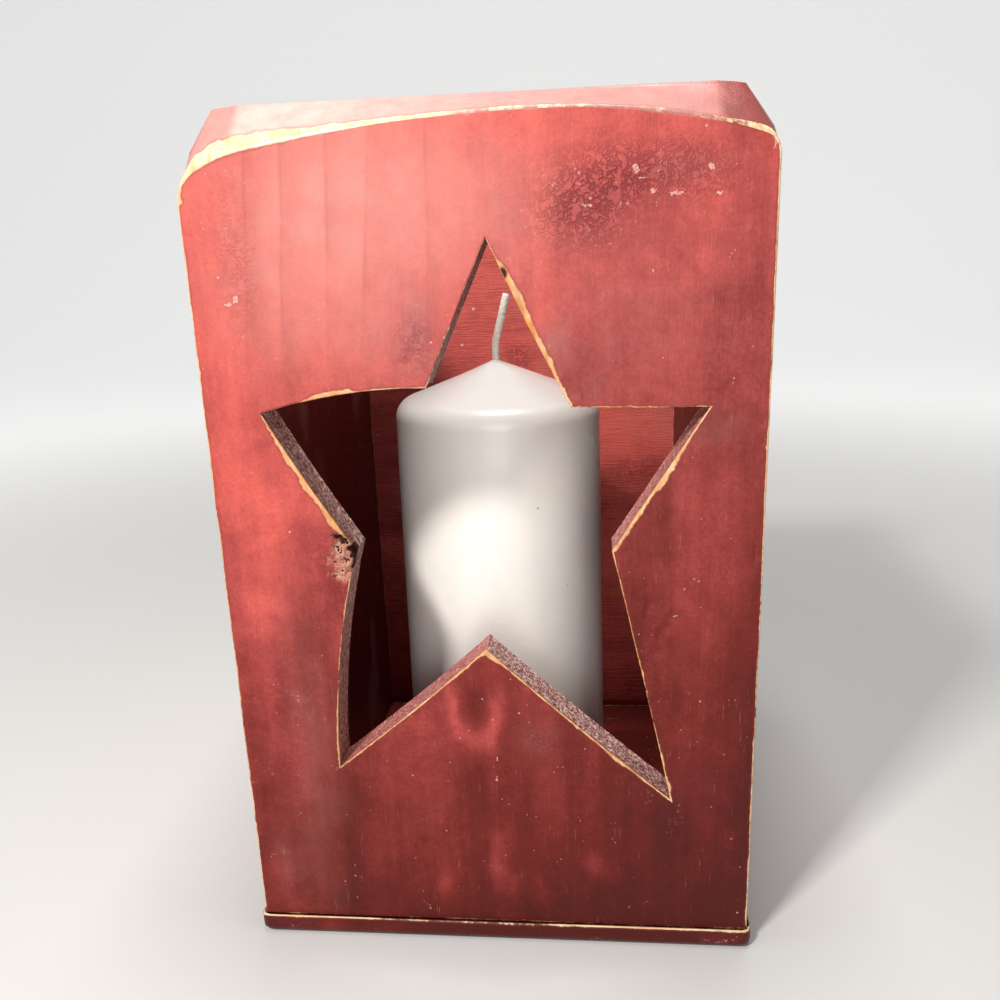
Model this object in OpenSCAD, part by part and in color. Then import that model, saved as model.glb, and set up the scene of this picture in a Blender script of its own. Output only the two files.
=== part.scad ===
// Candle box: a nailed box of painted boards with an open top, an arched front
// with a star cut through it, and a pillar candle that stands loose inside.
// X runs to the right of the front, Y to the back and Z up, all in millimetres.
// The origin is the middle of the underside.

/* [Boards] */
// Thickness of the front, back and side boards
board_t = 12.7; // [10:0.1:16]
// Width of the front and back boards
front_w = 165.1; // [156:0.1:200]
// Width of the stock that both side boards are cut from
side_w = 139.7; // [130:0.1:180]
// Height of the front board above the base plank
front_h = 262; // [255:1:300]
// Height of the back board above the base plank
back_h = 262; // [245:1:285]
// Height of the side boards above the base plank
side_h = 244; // [240:1:250]
// Rounding of the box's four outer upright corners
corner_r = 1.6; // [0.5:0.1:3]

/* [Base plank] */
// Thickness of the base plank
base_t = 7; // [5.5:0.5:12]
// How far the base plank stands out past the boards all round
base_lip = 1.5; // [0.5:0.1:4]
// Rounding of the base plank's lower edges and upright corners
base_r = 3; // [1:0.1:5]

/* [Arched top of the front board] */
// Drop from the board's top edge to the crown of the arch on the front face
crown_drop = 6; // [2:0.5:10]
// Place of the crown, to the right of the middle
crown_x = 20; // [-20:1:30]
// Fall of the arch from its crown to the left shoulder
fall_left = 6.8; // [2:0.1:12]
// Fall of the arch from its crown to the right shoulder
fall_right = 8; // [2:0.1:12]
// Width of the rounded left shoulder on the front face
shoulder_left_w = 20.5; // [8:0.5:28]
// Height of the rounded left shoulder on the front face
shoulder_left_h = 14; // [6:0.5:20]
// Width of the rounded right shoulder on the front face
shoulder_right_w = 5; // [2:0.5:20]
// Height of the rounded right shoulder on the front face
shoulder_right_h = 6.5; // [3:0.5:20]
// Width of the clipped top corners on the back face
clip_w = 8; // [4:0.5:14]
// Height of the clipped top corners on the back face
clip_h = 12; // [6:0.5:18]
// Width of the facet that runs in from each clipped corner
facet_w = 7.5; // [3:0.5:15]

/* [Star] */
// Height of the top point above the base plank
star_top = 223; // [210:1:232]
// Half the span of the neck, where the top point meets the arms
neck_half = 20.8; // [14:0.1:26]
// Height of the neck
neck_z = 179; // [172:0.5:186]
// Half the span of the arms, tip to tip
arm_half = 65.2; // [56:0.1:68]
// Height of the arm tips
arm_z = 175.4; // [168:0.1:182]
// Half the span of the waist, below the arms
waist_half = 38.8; // [30:0.1:46]
// Height of the waist
waist_z = 132.8; // [122:0.1:142]
// Half the span of the feet, tip to tip
foot_half = 53.7; // [44:0.1:60]
// Height of the foot tips
foot_z = 53.4; // [42:0.1:66]
// Height of the crotch between the feet
crotch_z = 100.5; // [88:0.5:112]
// Radius of the broken-out knot beside the left waist
knot_r = 4.6; // [2:0.1:7]

/* [Nails] */
// Diameter of a nail's shank
nail_d = 1.8; // [1.2:0.1:2.4]
// Length of a nail, head and point included
nail_l = 32; // [26:1:40]
// Diameter of a nail's head
nail_head_d = 2.8; // [2.6:0.1:3.4]
// Thickness of a nail's head
nail_head_t = 1.2; // [0.8:0.1:2]
// Length of a nail's point
nail_point_l = 3; // [2:0.5:5]
// Depth of the filler over the nails of the front and back boards
filler_t = 1.5; // [1:0.1:3]
// Depth of the base nails' heads under the base plank
head_sink = 0.4; // [0.2:0.1:1]
// Height of the lowest front and back nails above the base plank
nail_low_z = 26; // [22:1:40]
// Height of the topmost front and back nails above the base plank
nail_high_z = 226; // [150:1:236]
// Half the spacing of the two base nails in each board
base_nail_half = 36; // [20:1:42]

/* [Candle] */
// Height of the candle, without its wick
candle_h = 182.5; // [150:0.5:195]
// Diameter of the candle at its foot
candle_base_d = 78; // [60:0.5:84]
// Diameter of the candle below its shoulder
candle_top_d = 76; // [60:0.5:84]
// Rounding of the shoulder
candle_shoulder_r = 8; // [4:0.5:14]
// Slope of the conical top, in degrees below level
candle_cone_a = 21; // [12:0.5:30]
// Rounding of the foot
candle_foot_r = 2; // [1:0.5:4]
// How far the candle stands to the left of the middle
candle_left = 2.2; // [-10:0.5:10]
// How far the candle stands in front of the middle
candle_forward = 8.5; // [-10:0.5:12]

/* [Wick] */
// Diameter of the wick
wick_d = 3; // [2:0.1:4]
// Straight length of the wick above the candle's tip
wick_foot_l = 4; // [2:0.5:8]
// Radius of the wick's bend
wick_bend_r = 14; // [8:1:30]
// Lean of the wick to the right, in degrees
wick_lean = 15; // [5:1:30]
// Length of the leaning end of the wick
wick_end_l = 16; // [6:0.5:22]
// Depth of wax left under the wick
wick_rise = 6; // [2:1:15]

/* [Hidden] */

// Space between a nail or the wick and the hole that holds it
hold_gap = 0.03;
// How far a cutter runs past the faces that it cuts
past = 1;
// Points along each curved stretch of an outline
shoulder_steps = 8;
arch_steps = 12;
edge_steps = 6;
// Rings along the wick's bend, and sides of the wick
bend_steps = 6;
wick_sides = 16;
// Share of a shoulder's points that lie on the clipped corner behind it
clip_share = 0.45;
// Fall of the back edge's facet towards the clipped corner
facet_fall = 0.8;

half_w = front_w / 2;
box_depth = side_w + 2 * board_t;
half_d = box_depth / 2;
top_z = base_t + front_h;
inner_w = front_w - 2 * board_t;
// Middle of a side board's thickness, from the box's middle
side_mid_x = (inner_w + board_t) / 2;
// Middle of the front or back board's thickness, from the box's middle
front_mid_y = (side_w + board_t) / 2;
facets = 64;

paint_red = [0.52, 0.15, 0.13];
nail_grey = [0.45, 0.45, 0.47];
wax_white = [0.95, 0.93, 0.89];
wick_white = [0.90, 0.87, 0.80];

// A point part of the way from a to b.
function between(a, b, share) = a + (b - a) * share;

// A point on the curve that leaves a towards b and comes in to c from b.
function curve_at(a, b, c, u) = (1 - u) * (1 - u) * a + 2 * u * (1 - u) * b + u * u * c;

// ---------- outlines of the front board, as [x, z] pairs ----------

crown = [crown_x, top_z - crown_drop];
arch_left = [-half_w + shoulder_left_w, crown[1] - fall_left];
arch_right = [half_w - shoulder_right_w, crown[1] - fall_right];

// Height of the arch at x: a parabola on each side of the crown.
function arch_height(x) =
    let (end = x < crown[0] ? arch_left : arch_right, share = (x - crown[0]) / (end[0] - crown[0]))
    crown[1] - (crown[1] - end[1]) * share * share;

// Slope of the arch where it meets a shoulder, as rise per millimetre towards the crown.
function end_slope(end) = 2 * (crown[1] - end[1]) / abs(crown[0] - end[0]);

// A rounded shoulder on the front face, from the side edge at side_x up to the arch's end.
function shoulder_front(end, side_x, height) =
    let (low = [side_x, end[1] - height],
         corner = [side_x, end[1] - end_slope(end) * abs(end[0] - side_x)])
    [for (i = [0 : shoulder_steps]) curve_at(low, corner, end, i / shoulder_steps)];

// The same shoulder on the back face: up the clipped corner, then in along its facet.
function shoulder_back(side) =
    let (low = [side * half_w, top_z - clip_h],
         corner = [side * (half_w - clip_w), top_z - facet_fall],
         inner = [side * (half_w - clip_w - facet_w), top_z])
    [for (i = [0 : shoulder_steps])
        let (u = i / shoulder_steps)
        u < clip_share ? between(low, corner, u / clip_share)
                       : between(corner, inner, (u - clip_share) / (1 - clip_share))];

function reversed(list) = [for (i = [len(list) - 1 : -1 : 0]) list[i]];

function arch_front() =
    [for (i = [1 : 2 * arch_steps - 1])
        let (x = between(arch_left[0], arch_right[0], i / (2 * arch_steps))) [x, arch_height(x)]];

function arch_back() =
    let (edge = half_w - clip_w - facet_w)
    [for (i = [1 : 2 * arch_steps - 1]) [between(-edge, edge, i / (2 * arch_steps)), top_z]];

front_outline = concat([[-half_w, base_t]],
    shoulder_front(arch_left, -half_w, shoulder_left_h), arch_front(),
    reversed(shoulder_front(arch_right, half_w, shoulder_right_h)), [[half_w, base_t]]);

back_outline = concat([[-half_w, base_t]], shoulder_back(-1), arch_back(),
    reversed(shoulder_back(1)), [[half_w, base_t]]);

// The star's corners above the base plank, clockwise from the top point. Each is its
// even place, then how far the saw strayed from it, then the bow of the edge that
// follows, outwards from the star's inside where positive.
star_corners = [
    [[0, star_top], [3.7, 0.2], -0.4],
    [[neck_half, neck_z], [5.7, -3.2], 0],
    [[arm_half, arm_z], [0.4, -0.2], 0],
    [[waist_half, waist_z], [-0.7, -0.3], 0.3],
    [[foot_half, foot_z], [2.9, -4.8], 0.6],
    [[0, crotch_z], [-0.9, 0], 0.6],
    [[-foot_half, foot_z], [2.8, 4.8], 2.6],
    [[-waist_half, waist_z], [-0.7, 0.3], 0.6],
    [[-arm_half, arm_z], [0.4, 0.3], 2],
    [[-neck_half, neck_z], [5.7, 3.2], 0]
];

function star_corner(i) = let (c = star_corners[i % len(star_corners)]) c[0] + c[1] + [0, base_t];

// Points of one edge from a to b, bowed by a parabola to its left by the height given.
function bowed_edge(a, b, bow) =
    let (along = (b - a) / norm(b - a), left = [-along[1], along[0]])
    [for (i = [0 : edge_steps - 1])
        let (u = i / edge_steps) between(a, b, u) + left * bow * 4 * u * (1 - u)];

star_outline = [for (i = [0 : len(star_corners) - 1])
    each bowed_edge(star_corner(i), star_corner(i + 1), star_corners[i][2])];

// ---------- shared shapes ----------

// A solid between two outlines with as many points, at the depths y0 and y1.
module lofted_board(outline0, outline1, y0, y1) {
    n = len(outline0);
    points = concat([for (p = outline0) [p[0], y0, p[1]]], [for (p = outline1) [p[0], y1, p[1]]]);
    near = [for (i = [0 : n - 1]) i];
    far = [for (i = [n - 1 : -1 : 0]) n + i];
    walls = [for (i = [0 : n - 1], k = [0, 1])
        let (j = (i + 1) % n) k == 0 ? [i, n + i, n + j] : [i, n + j, j]];
    polyhedron(points, concat([reversed(near), reversed(far)], walls));
}

// A rectangle with true round corners.
module round_rectangle(w, d, r) {
    square([w - 2 * r, d], center = true);
    square([w, d - 2 * r], center = true);
    for (x = [-1, 1], y = [-1, 1])
        translate([x * (w / 2 - r), y * (d / 2 - r)]) circle(r, $fn = facets);
}

// The whole box's plan up to a height, which rounds the outer upright corners.
module box_plan(height) {
    translate([0, 0, base_t - past])
        linear_extrude(height + 2 * past) round_rectangle(front_w, box_depth, corner_r);
}

// The plank's edge seen from one side: square above and rounded below.
module plank_profile(w) {
    translate([-w / 2, base_r]) square([w, base_t - base_r]);
    translate([-w / 2 + base_r, 0]) square([w - 2 * base_r, base_r]);
    for (x = [-1, 1]) translate([x * (w / 2 - base_r), base_r]) circle(base_r, $fn = facets);
}

// One nail with its head at the origin, driven along +Z. The gap is added all round.
module nail(gap = 0) {
    translate([0, 0, -gap]) cylinder(h = nail_head_t + 2 * gap, d = nail_head_d + 2 * gap, $fn = 32);
    cylinder(h = nail_l - nail_point_l, d = nail_d + 2 * gap, $fn = 32);
    translate([0, 0, nail_l - nail_point_l])
        cylinder(h = nail_point_l + gap, d1 = nail_d + 2 * gap, d2 = 0.4, $fn = 32);
}

// Nails through the front board into the side boards, or their holes.
module front_nail_set(gap = 0) {
    for (side = [-1, 1], z = [nail_low_z, (nail_low_z + nail_high_z) / 2, nail_high_z])
        translate([side * side_mid_x, -half_d + filler_t, base_t + z]) rotate([-90, 0, 0]) nail(gap);
}

// Nails up through the base plank into the four boards, or their holes.
module base_nail_set(gap = 0) {
    for (side = [-1, 1], along = [-1, 1]) {
        translate([side * side_mid_x, along * base_nail_half, head_sink]) nail(gap);
        translate([along * base_nail_half, side * front_mid_y, head_sink]) nail(gap);
    }
}

// The open mouths under the base nails' heads.
module base_nail_mouths() {
    for (side = [-1, 1], along = [-1, 1]) {
        translate([side * side_mid_x, along * base_nail_half, -past])
            cylinder(h = past + head_sink, d = nail_head_d + 2 * hold_gap, $fn = 32);
        translate([along * base_nail_half, side * front_mid_y, -past])
            cylinder(h = past + head_sink, d = nail_head_d + 2 * hold_gap, $fn = 32);
    }
}

// One side board in its place, on the side of X that the sign gives.
module side_board(side) {
    color(paint_red) difference() {
        translate([side * side_mid_x - board_t / 2, -side_w / 2, base_t])
            cube([board_t, side_w, side_h]);
        front_nail_set(hold_gap);
        rotate(180) front_nail_set(hold_gap);
        base_nail_set(hold_gap);
    }
}

// ---------- the pieces ----------

module base_board() {
    w = front_w + 2 * base_lip;
    d = box_depth + 2 * base_lip;
    color(paint_red) difference() {
        intersection() {
            linear_extrude(base_t) round_rectangle(w, d, base_r);
            translate([0, d / 2 + past, 0]) rotate([90, 0, 0])
                linear_extrude(d + 2 * past) plank_profile(w);
            translate([-w / 2 - past, 0, 0]) rotate([90, 0, 90])
                linear_extrude(w + 2 * past) plank_profile(d);
        }
        base_nail_set(hold_gap);
        base_nail_mouths();
    }
}

module front_board() {
    color(paint_red) difference() {
        intersection() {
            lofted_board(front_outline, back_outline, -half_d, -half_d + board_t);
            box_plan(front_h);
        }
        translate([0, -half_d + board_t + past, 0]) rotate([90, 0, 0])
            linear_extrude(board_t + 2 * past) polygon(star_outline);
        knot_hollow();
        front_nail_set(hold_gap);
        base_nail_set(hold_gap);
    }
}

// The knot that broke out of the front face at the left waist.
module knot_hollow() {
    waist = star_corner(7);
    for (place = [[-2, 1.5, 1], [-1, -3.5, 0.75]])
        translate([waist[0] + place[0], -half_d, waist[1] + place[1]])
            sphere(knot_r * place[2], $fn = facets);
}

module back_board() {
    color(paint_red) difference() {
        intersection() {
            translate([-half_w, half_d - board_t, base_t]) cube([front_w, board_t, back_h]);
            box_plan(back_h);
        }
        rotate(180) front_nail_set(hold_gap);
        base_nail_set(hold_gap);
    }
}

module left_side_board() {
    side_board(-1);
}

module right_side_board() {
    side_board(1);
}

module front_nails() {
    color(nail_grey) front_nail_set();
}

module back_nails() {
    color(nail_grey) rotate(180) front_nail_set();
}

module base_nails() {
    color(nail_grey) base_nail_set();
}

// ---------- the candle, which lifts out with its wick ----------

candle_place = [-candle_left, -candle_forward, base_t];
shoulder_x = candle_top_d / 2 - candle_shoulder_r;
// Where the cone leaves the round of the shoulder
cone_foot_x = shoulder_x + candle_shoulder_r * sin(candle_cone_a);
cone_h = cone_foot_x * tan(candle_cone_a);
shoulder_z = candle_h - cone_h - candle_shoulder_r * cos(candle_cone_a);

// Half the candle's section, from its axis outwards.
module candle_section() {
    base_r0 = candle_base_d / 2;
    polygon([[0, 0], [base_r0 - candle_foot_r, 0], [base_r0 - candle_foot_r, candle_foot_r],
             [base_r0, candle_foot_r], [candle_top_d / 2, shoulder_z], [shoulder_x, shoulder_z],
             [cone_foot_x, candle_h - cone_h], [0, candle_h]]);
    translate([base_r0 - candle_foot_r, candle_foot_r]) intersection() {
        circle(candle_foot_r, $fn = facets);
        square([4 * candle_foot_r, 2 * candle_foot_r], center = true);
    }
    translate([shoulder_x, shoulder_z]) intersection() {
        circle(candle_shoulder_r, $fn = facets);
        square([2 * candle_shoulder_r, candle_shoulder_r]);
    }
}

module candle() {
    color(wax_white) translate(candle_place) difference() {
        rotate_extrude($fn = 96) candle_section();
        translate([0, 0, wick_rise - hold_gap])
            cylinder(h = candle_h, d = wick_d + 2 * hold_gap, $fn = 32);
    }
}

// The wick's middle line as [place, lean] pairs: straight up through the wax, round the
// bend and along the leaning end, all in the plane of X and Z.
bend_z = candle_h + wick_foot_l;
bend_end = [wick_bend_r * (1 - cos(wick_lean)), 0, bend_z + wick_bend_r * sin(wick_lean)];
wick_line = concat([[[0, 0, wick_rise], 0]],
    [for (i = [0 : bend_steps])
        let (a = wick_lean * i / bend_steps)
        [[wick_bend_r * (1 - cos(a)), 0, bend_z + wick_bend_r * sin(a)], a]],
    [[bend_end + wick_end_l * [sin(wick_lean), 0, cos(wick_lean)], wick_lean]]);

module wick() {
    n = wick_sides;
    last = len(wick_line) - 1;
    points = [for (station = wick_line, k = [0 : n - 1])
        let (a = 360 * k / n, r = wick_d / 2, lean = station[1])
        station[0] + [r * cos(a) * cos(lean), r * sin(a), -r * cos(a) * sin(lean)]];
    walls = [for (i = [0 : last - 1], k = [0 : n - 1], half = [0, 1])
        let (a = i * n + k, b = i * n + (k + 1) % n)
        half == 0 ? [a, a + n, b + n] : [a, b + n, b]];
    foot = [for (k = [0 : n - 1]) k];
    tip = [for (k = [n - 1 : -1 : 0]) last * n + k];
    color(wick_white) translate(candle_place) polyhedron(points, concat([foot, tip], walls));
}

base_board();
front_board();
back_board();
left_side_board();
right_side_board();
front_nails();
back_nails();
base_nails();
candle();
wick();
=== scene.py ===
"""Looks of a candle box: worn red boards with a star front, a pillar candle and its wick.

The frame is the CAD's. Shapes and their tables are in millimetres until make_piece turns
them into metres; the camera, the lamps and the finishes' patterns are in metres.
Every new piece is a grid of points worked out with numpy.
"""
import math

import bpy
import numpy as np
from mathutils import Matrix, Vector


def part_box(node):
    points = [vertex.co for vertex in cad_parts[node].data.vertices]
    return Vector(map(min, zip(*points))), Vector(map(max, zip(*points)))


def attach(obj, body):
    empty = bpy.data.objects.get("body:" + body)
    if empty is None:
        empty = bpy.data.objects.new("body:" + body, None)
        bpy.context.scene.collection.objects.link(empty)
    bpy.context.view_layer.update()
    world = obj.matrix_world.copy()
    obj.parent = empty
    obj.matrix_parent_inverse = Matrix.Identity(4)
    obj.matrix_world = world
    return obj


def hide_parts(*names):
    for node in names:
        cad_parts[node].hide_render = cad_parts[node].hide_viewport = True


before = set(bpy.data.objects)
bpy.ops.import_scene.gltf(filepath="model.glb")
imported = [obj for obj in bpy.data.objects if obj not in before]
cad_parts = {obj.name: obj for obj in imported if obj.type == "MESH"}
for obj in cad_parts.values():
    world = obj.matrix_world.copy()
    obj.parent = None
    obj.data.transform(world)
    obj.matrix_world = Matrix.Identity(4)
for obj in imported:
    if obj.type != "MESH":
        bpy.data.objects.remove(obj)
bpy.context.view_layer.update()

MM = 0.001

# ---------- camera, fitted to the photograph's edges in a 1000 x 1000 image ----------

IMAGE_PX = 1000
FOCAL_PX = 887.6
CENTRE_PX = (507.7, 508.35)
CAMERA_PLACE = (0.03181, -0.33530, 0.22381)
YAW, PITCH, ROLL = (math.radians(a) for a in (5.512, 15.543, 1.972))
SENSOR_MM = 36


def photo_camera():
    """The camera's turn is yaw about Z, then pitch down about X, then roll about Y."""
    cy, sy, cp, sp, cr, sr = (f(a) for a in (YAW, PITCH, ROLL) for f in (math.cos, math.sin))
    turn = (Matrix(((cy, -sy, 0), (sy, cy, 0), (0, 0, 1)))
            @ Matrix(((1, 0, 0), (0, cp, sp), (0, -sp, cp)))
            @ Matrix(((cr, 0, sr), (0, 1, 0), (-sr, 0, cr))))
    right, forward, up = turn.col[0], turn.col[1], turn.col[2]
    place = Matrix((right, up, -forward)).transposed().to_4x4()
    place.translation = CAMERA_PLACE
    data = bpy.data.cameras.new("photo_camera")
    data.sensor_width = SENSOR_MM
    data.lens = FOCAL_PX / IMAGE_PX * SENSOR_MM
    data.shift_x = 0.5 - CENTRE_PX[0] / IMAGE_PX
    data.shift_y = CENTRE_PX[1] / IMAGE_PX - 0.5
    data.clip_start = 0.01
    camera = bpy.data.objects.new("photo_camera", data)
    camera.matrix_world = place
    bpy.context.scene.collection.objects.link(camera)
    bpy.context.scene.camera = camera


photo_camera()

# ---------- noise on whole arrays ----------


def lattice(ix, iy, iz, seed):
    """A repeatable value from 0 to 1 at each whole-number place, by mixing the bits of
    its three numbers."""
    h = (ix * 374761393 + iy * 668265263 + iz * 1442695041 + seed * 974634777) & 0xFFFFFFFF
    h = ((h ^ (h >> 15)) * 2246822519) & 0xFFFFFFFF
    h = ((h ^ (h >> 13)) * 3266489917) & 0xFFFFFFFF
    return (h >> 8) / 16777215.0


def noise(p, cell, seed):
    """Value noise from -1 to 1: lattice values, blended along each axis by 3t^2 - 2t^3."""
    q = p / np.asarray(cell, float)
    i = np.floor(q).astype(np.int64)
    t = q - i
    t = t * t * (3 - 2 * t)
    total = np.zeros(p.shape[:-1])
    for dx in (0, 1):
        for dy in (0, 1):
            for dz in (0, 1):
                share = np.ones(p.shape[:-1])
                for axis, d in enumerate((dx, dy, dz)):
                    share = share * (t[..., axis] if d else 1 - t[..., axis])
                total += share * lattice(i[..., 0] + dx, i[..., 1] + dy, i[..., 2] + dz, seed)
    return 2 * total - 1


def rough(p, cell, seed, octaves=3):
    """Noise summed over octaves, each with half the cell and half the height."""
    return sum(noise(p, np.asarray(cell, float) / 2 ** k, seed + k) / 2 ** k
               for k in range(octaves))


def smooth(x, low, high):
    """0 below low, 1 above high, and 3t^2 - 2t^3 between them."""
    t = np.clip((x - low) / (high - low), 0, 1)
    return t * t * (3 - 2 * t)


def hump(x, z, places):
    """A sum of soft oval humps: height times exp(-(dx/rx)^2 - (dz/rz)^2) for each."""
    total = np.zeros(np.shape(x))
    for px, pz, rx, rz, height in places:
        total += height * np.exp(-((x - px) / rx) ** 2 - ((z - pz) / rz) ** 2)
    return total


def from_table(x, rows):
    """The height at x of the line through a table's (place, height) rows."""
    return np.interp(x, *zip(*rows))


# ---------- meshes ----------


def smooth_object(name, points, faces):
    """A smooth-shaded object at the origin, from points in metres and lists of faces."""
    mesh = bpy.data.meshes.new(name)
    mesh.from_pydata(points.tolist(), [], faces if isinstance(faces, list) else faces.tolist())
    mesh.polygons.foreach_set("use_smooth", np.ones(len(mesh.polygons), bool))
    mesh.update()
    made = bpy.data.objects.new(name, mesh)
    bpy.context.scene.collection.objects.link(made)
    return made


def make_piece(name, points_mm, faces, body, replaced, marks=None):
    """A piece from points in millimetres and faces, with a value per point for each mark."""
    piece = smooth_object(name, points_mm * MM, faces)
    for mark, values in (marks or {}).items():
        layer = piece.data.attributes.new(mark, "FLOAT", "POINT")
        layer.data.foreach_set("value", np.ascontiguousarray(values, np.float32))
    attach(piece, body)
    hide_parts(replaced)
    return piece


def grid_quads(rows, columns, wrap_rows=False, wrap_columns=False):
    """Four-sided faces of a grid whose point number is row times columns plus column."""
    r = np.arange(rows if wrap_rows else rows - 1)
    c = np.arange(columns if wrap_columns else columns - 1)
    r, c = np.meshgrid(r, c, indexing="ij")
    r1, c1 = (r + 1) % rows, (c + 1) % columns
    corners = (r * columns + c, r * columns + c1, r1 * columns + c1, r1 * columns + c)
    return np.stack([k.ravel() for k in corners], axis=1)


def weld(points, faces, marks):
    """Points that lie in the same place become one, and faces that collapse are dropped."""
    _, first, index = np.unique(np.round(points * 1e4).astype(np.int64), axis=0,
                                return_index=True, return_inverse=True)
    faces = index.ravel()[faces]
    keep = np.array([len(set(f)) == 4 for f in faces.tolist()])
    return points[first], faces[keep], {k: v[first] for k, v in marks.items()}


def node_box(node):
    """The lowest and highest corners of a CAD node, in millimetres."""
    return [np.array(corner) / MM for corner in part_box(node)]


# ---------- the front board: outlines as in the CAD source, in millimetres ----------

BOARD_T = 12.7
HALF_W = 82.55
HALF_D = 82.55
BASE_T = 7.0
TOP_Z = BASE_T + 262
CROWN = np.array((20.0, TOP_Z - 6))
ARCH_LEFT = np.array((-HALF_W + 20.5, CROWN[1] - 6.8))
ARCH_RIGHT = np.array((HALF_W - 5, CROWN[1] - 8))
LEFT_SHOULDER_H, RIGHT_SHOULDER_H = 14, 6.5
CLIP_W, CLIP_H, FACET_W, CLIP_SHARE, FACET_FALL = 8, 12, 7.5, 0.45, 0.8
SHOULDER_STEPS, ARCH_STEPS, SIDE_STEPS = 30, 80, 60

STAR_CENTRE = np.array((0.0, 157.0))
# Each corner as its place and the bow of the edge that follows, clockwise from the top
STAR = [((3.7, 230.2), -0.4), ((26.5, 182.8), 0), ((65.6, 182.2), 0), ((38.1, 139.5), 0.3),
        ((56.6, 55.6), 0.6), ((-0.9, 107.5), 0.6), ((-50.9, 65.2), 2.6), ((-39.5, 140.1), 0.6),
        ((-64.8, 182.7), 2), ((-15.1, 189.2), 0)]
STAR_EDGE_STEPS = 40


def shoulder_curve(end, side, height):
    """The curve that leaves the side edge upwards and comes in along the arch's slope."""
    slope = 2 * (CROWN[1] - end[1]) / abs(CROWN[0] - end[0])
    low = np.array((side * HALF_W, end[1] - height))
    corner = np.array((side * HALF_W, end[1] - slope * abs(end[0] - side * HALF_W)))
    u = np.linspace(0, 1, SHOULDER_STEPS + 1)[:, None]
    return (1 - u) ** 2 * low + 2 * u * (1 - u) * corner + u ** 2 * end


def shoulder_clip(side):
    """The same stretch of the back outline: up the clipped corner, then in along its facet."""
    low = np.array((side * HALF_W, TOP_Z - CLIP_H))
    corner = np.array((side * (HALF_W - CLIP_W), TOP_Z - FACET_FALL))
    inner = np.array((side * (HALF_W - CLIP_W - FACET_W), TOP_Z))
    u = np.linspace(0, 1, SHOULDER_STEPS + 1)[:, None]
    return np.where(u < CLIP_SHARE, low + (corner - low) * u / CLIP_SHARE,
                    corner + (inner - corner) * (u - CLIP_SHARE) / (1 - CLIP_SHARE))


def straight(a, b, steps):
    """Points from a towards b, without b itself."""
    u = np.linspace(0, 1, steps, endpoint=False)[:, None]
    return np.asarray(a) + (np.asarray(b) - np.asarray(a)) * u


def front_outlines():
    """The front and back outlines, anticlockwise as seen from the front, from the lower
    left corner, with as many points each so that equal numbers face each other."""
    x = np.linspace(ARCH_RIGHT[0], ARCH_LEFT[0], ARCH_STEPS + 1)[1:-1]
    end_x = np.where(x < CROWN[0], ARCH_LEFT[0], ARCH_RIGHT[0])
    end_z = np.where(x < CROWN[0], ARCH_LEFT[1], ARCH_RIGHT[1])
    z = CROWN[1] - (CROWN[1] - end_z) * ((x - CROWN[0]) / (end_x - CROWN[0])) ** 2
    edge = HALF_W - CLIP_W - FACET_W
    arch_back = np.stack([np.linspace(edge, -edge, ARCH_STEPS + 1)[1:-1],
                          np.full(ARCH_STEPS - 1, TOP_Z)], axis=1)
    low_left, low_right = np.array((-HALF_W, BASE_T)), np.array((HALF_W, BASE_T))
    outlines = []
    for right, arch, left in (
            (shoulder_curve(ARCH_RIGHT, 1, RIGHT_SHOULDER_H), np.stack([x, z], axis=1),
             shoulder_curve(ARCH_LEFT, -1, LEFT_SHOULDER_H)[::-1]),
            (shoulder_clip(1), arch_back, shoulder_clip(-1)[::-1])):
        outlines.append(np.concatenate([
            straight(low_left, low_right, SIDE_STEPS), straight(low_right, right[0], SIDE_STEPS),
            right, arch, left, straight(left[-1], low_left, SIDE_STEPS + 1)[1:]]))
    return outlines


def star_outline():
    """The star anticlockwise: straight edges, each bowed by a parabola of its own height."""
    pieces = []
    count = len(STAR)
    for i in range(count):
        a, b = np.array(STAR[i][0]), np.array(STAR[(i + 1) % count][0])
        along = (b - a) / np.linalg.norm(b - a)
        left = np.array((-along[1], along[0]))
        u = np.linspace(0, 1, STAR_EDGE_STEPS, endpoint=False)[:, None]
        pieces.append(a + (b - a) * u + left * STAR[i][1] * 4 * u * (1 - u))
    return np.concatenate(pieces)[::-1]


def ray_hits(outline, angles):
    """Where rays from the star's centre cross a closed outline that each crosses once.
    On the side whose corners lie either side of a ray, the share t solves
    cross(p + t(q - p), ray) = 0. Gives the points and t plus the side's number."""
    rel = outline - STAR_CENTRE
    turn = np.unwrap(np.arctan2(rel[:, 1], rel[:, 0]))
    rel, turn = np.vstack([rel, rel[:1]]), np.append(turn, turn[0] + 2 * math.pi)
    seek = turn[0] + (angles - turn[0]) % (2 * math.pi)
    side = np.clip(np.searchsorted(turn, seek, side="right") - 1, 0, len(turn) - 2)
    p, q = rel[side], rel[side + 1]
    ray = np.stack([np.cos(seek), np.sin(seek)], axis=1)

    def cross(a, b):
        """The cross product of flat vectors, row by row."""
        return a[:, 0] * b[:, 1] - a[:, 1] * b[:, 0]

    t = -cross(p, ray) / cross(q - p, ray)
    return STAR_CENTRE + p + t[:, None] * (q - p), side + t


def at_index(outline, place):
    """The point at a fractional corner number of a closed outline."""
    i = np.floor(place).astype(int)
    t = (place - i)[:, None]
    n = len(outline)
    return outline[i % n] * (1 - t) + outline[(i + 1) % n] * t


# Below this crossing of a ray and a side, a grid row moves no further along its ray
LEAST_CROSSING = 0.28


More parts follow.
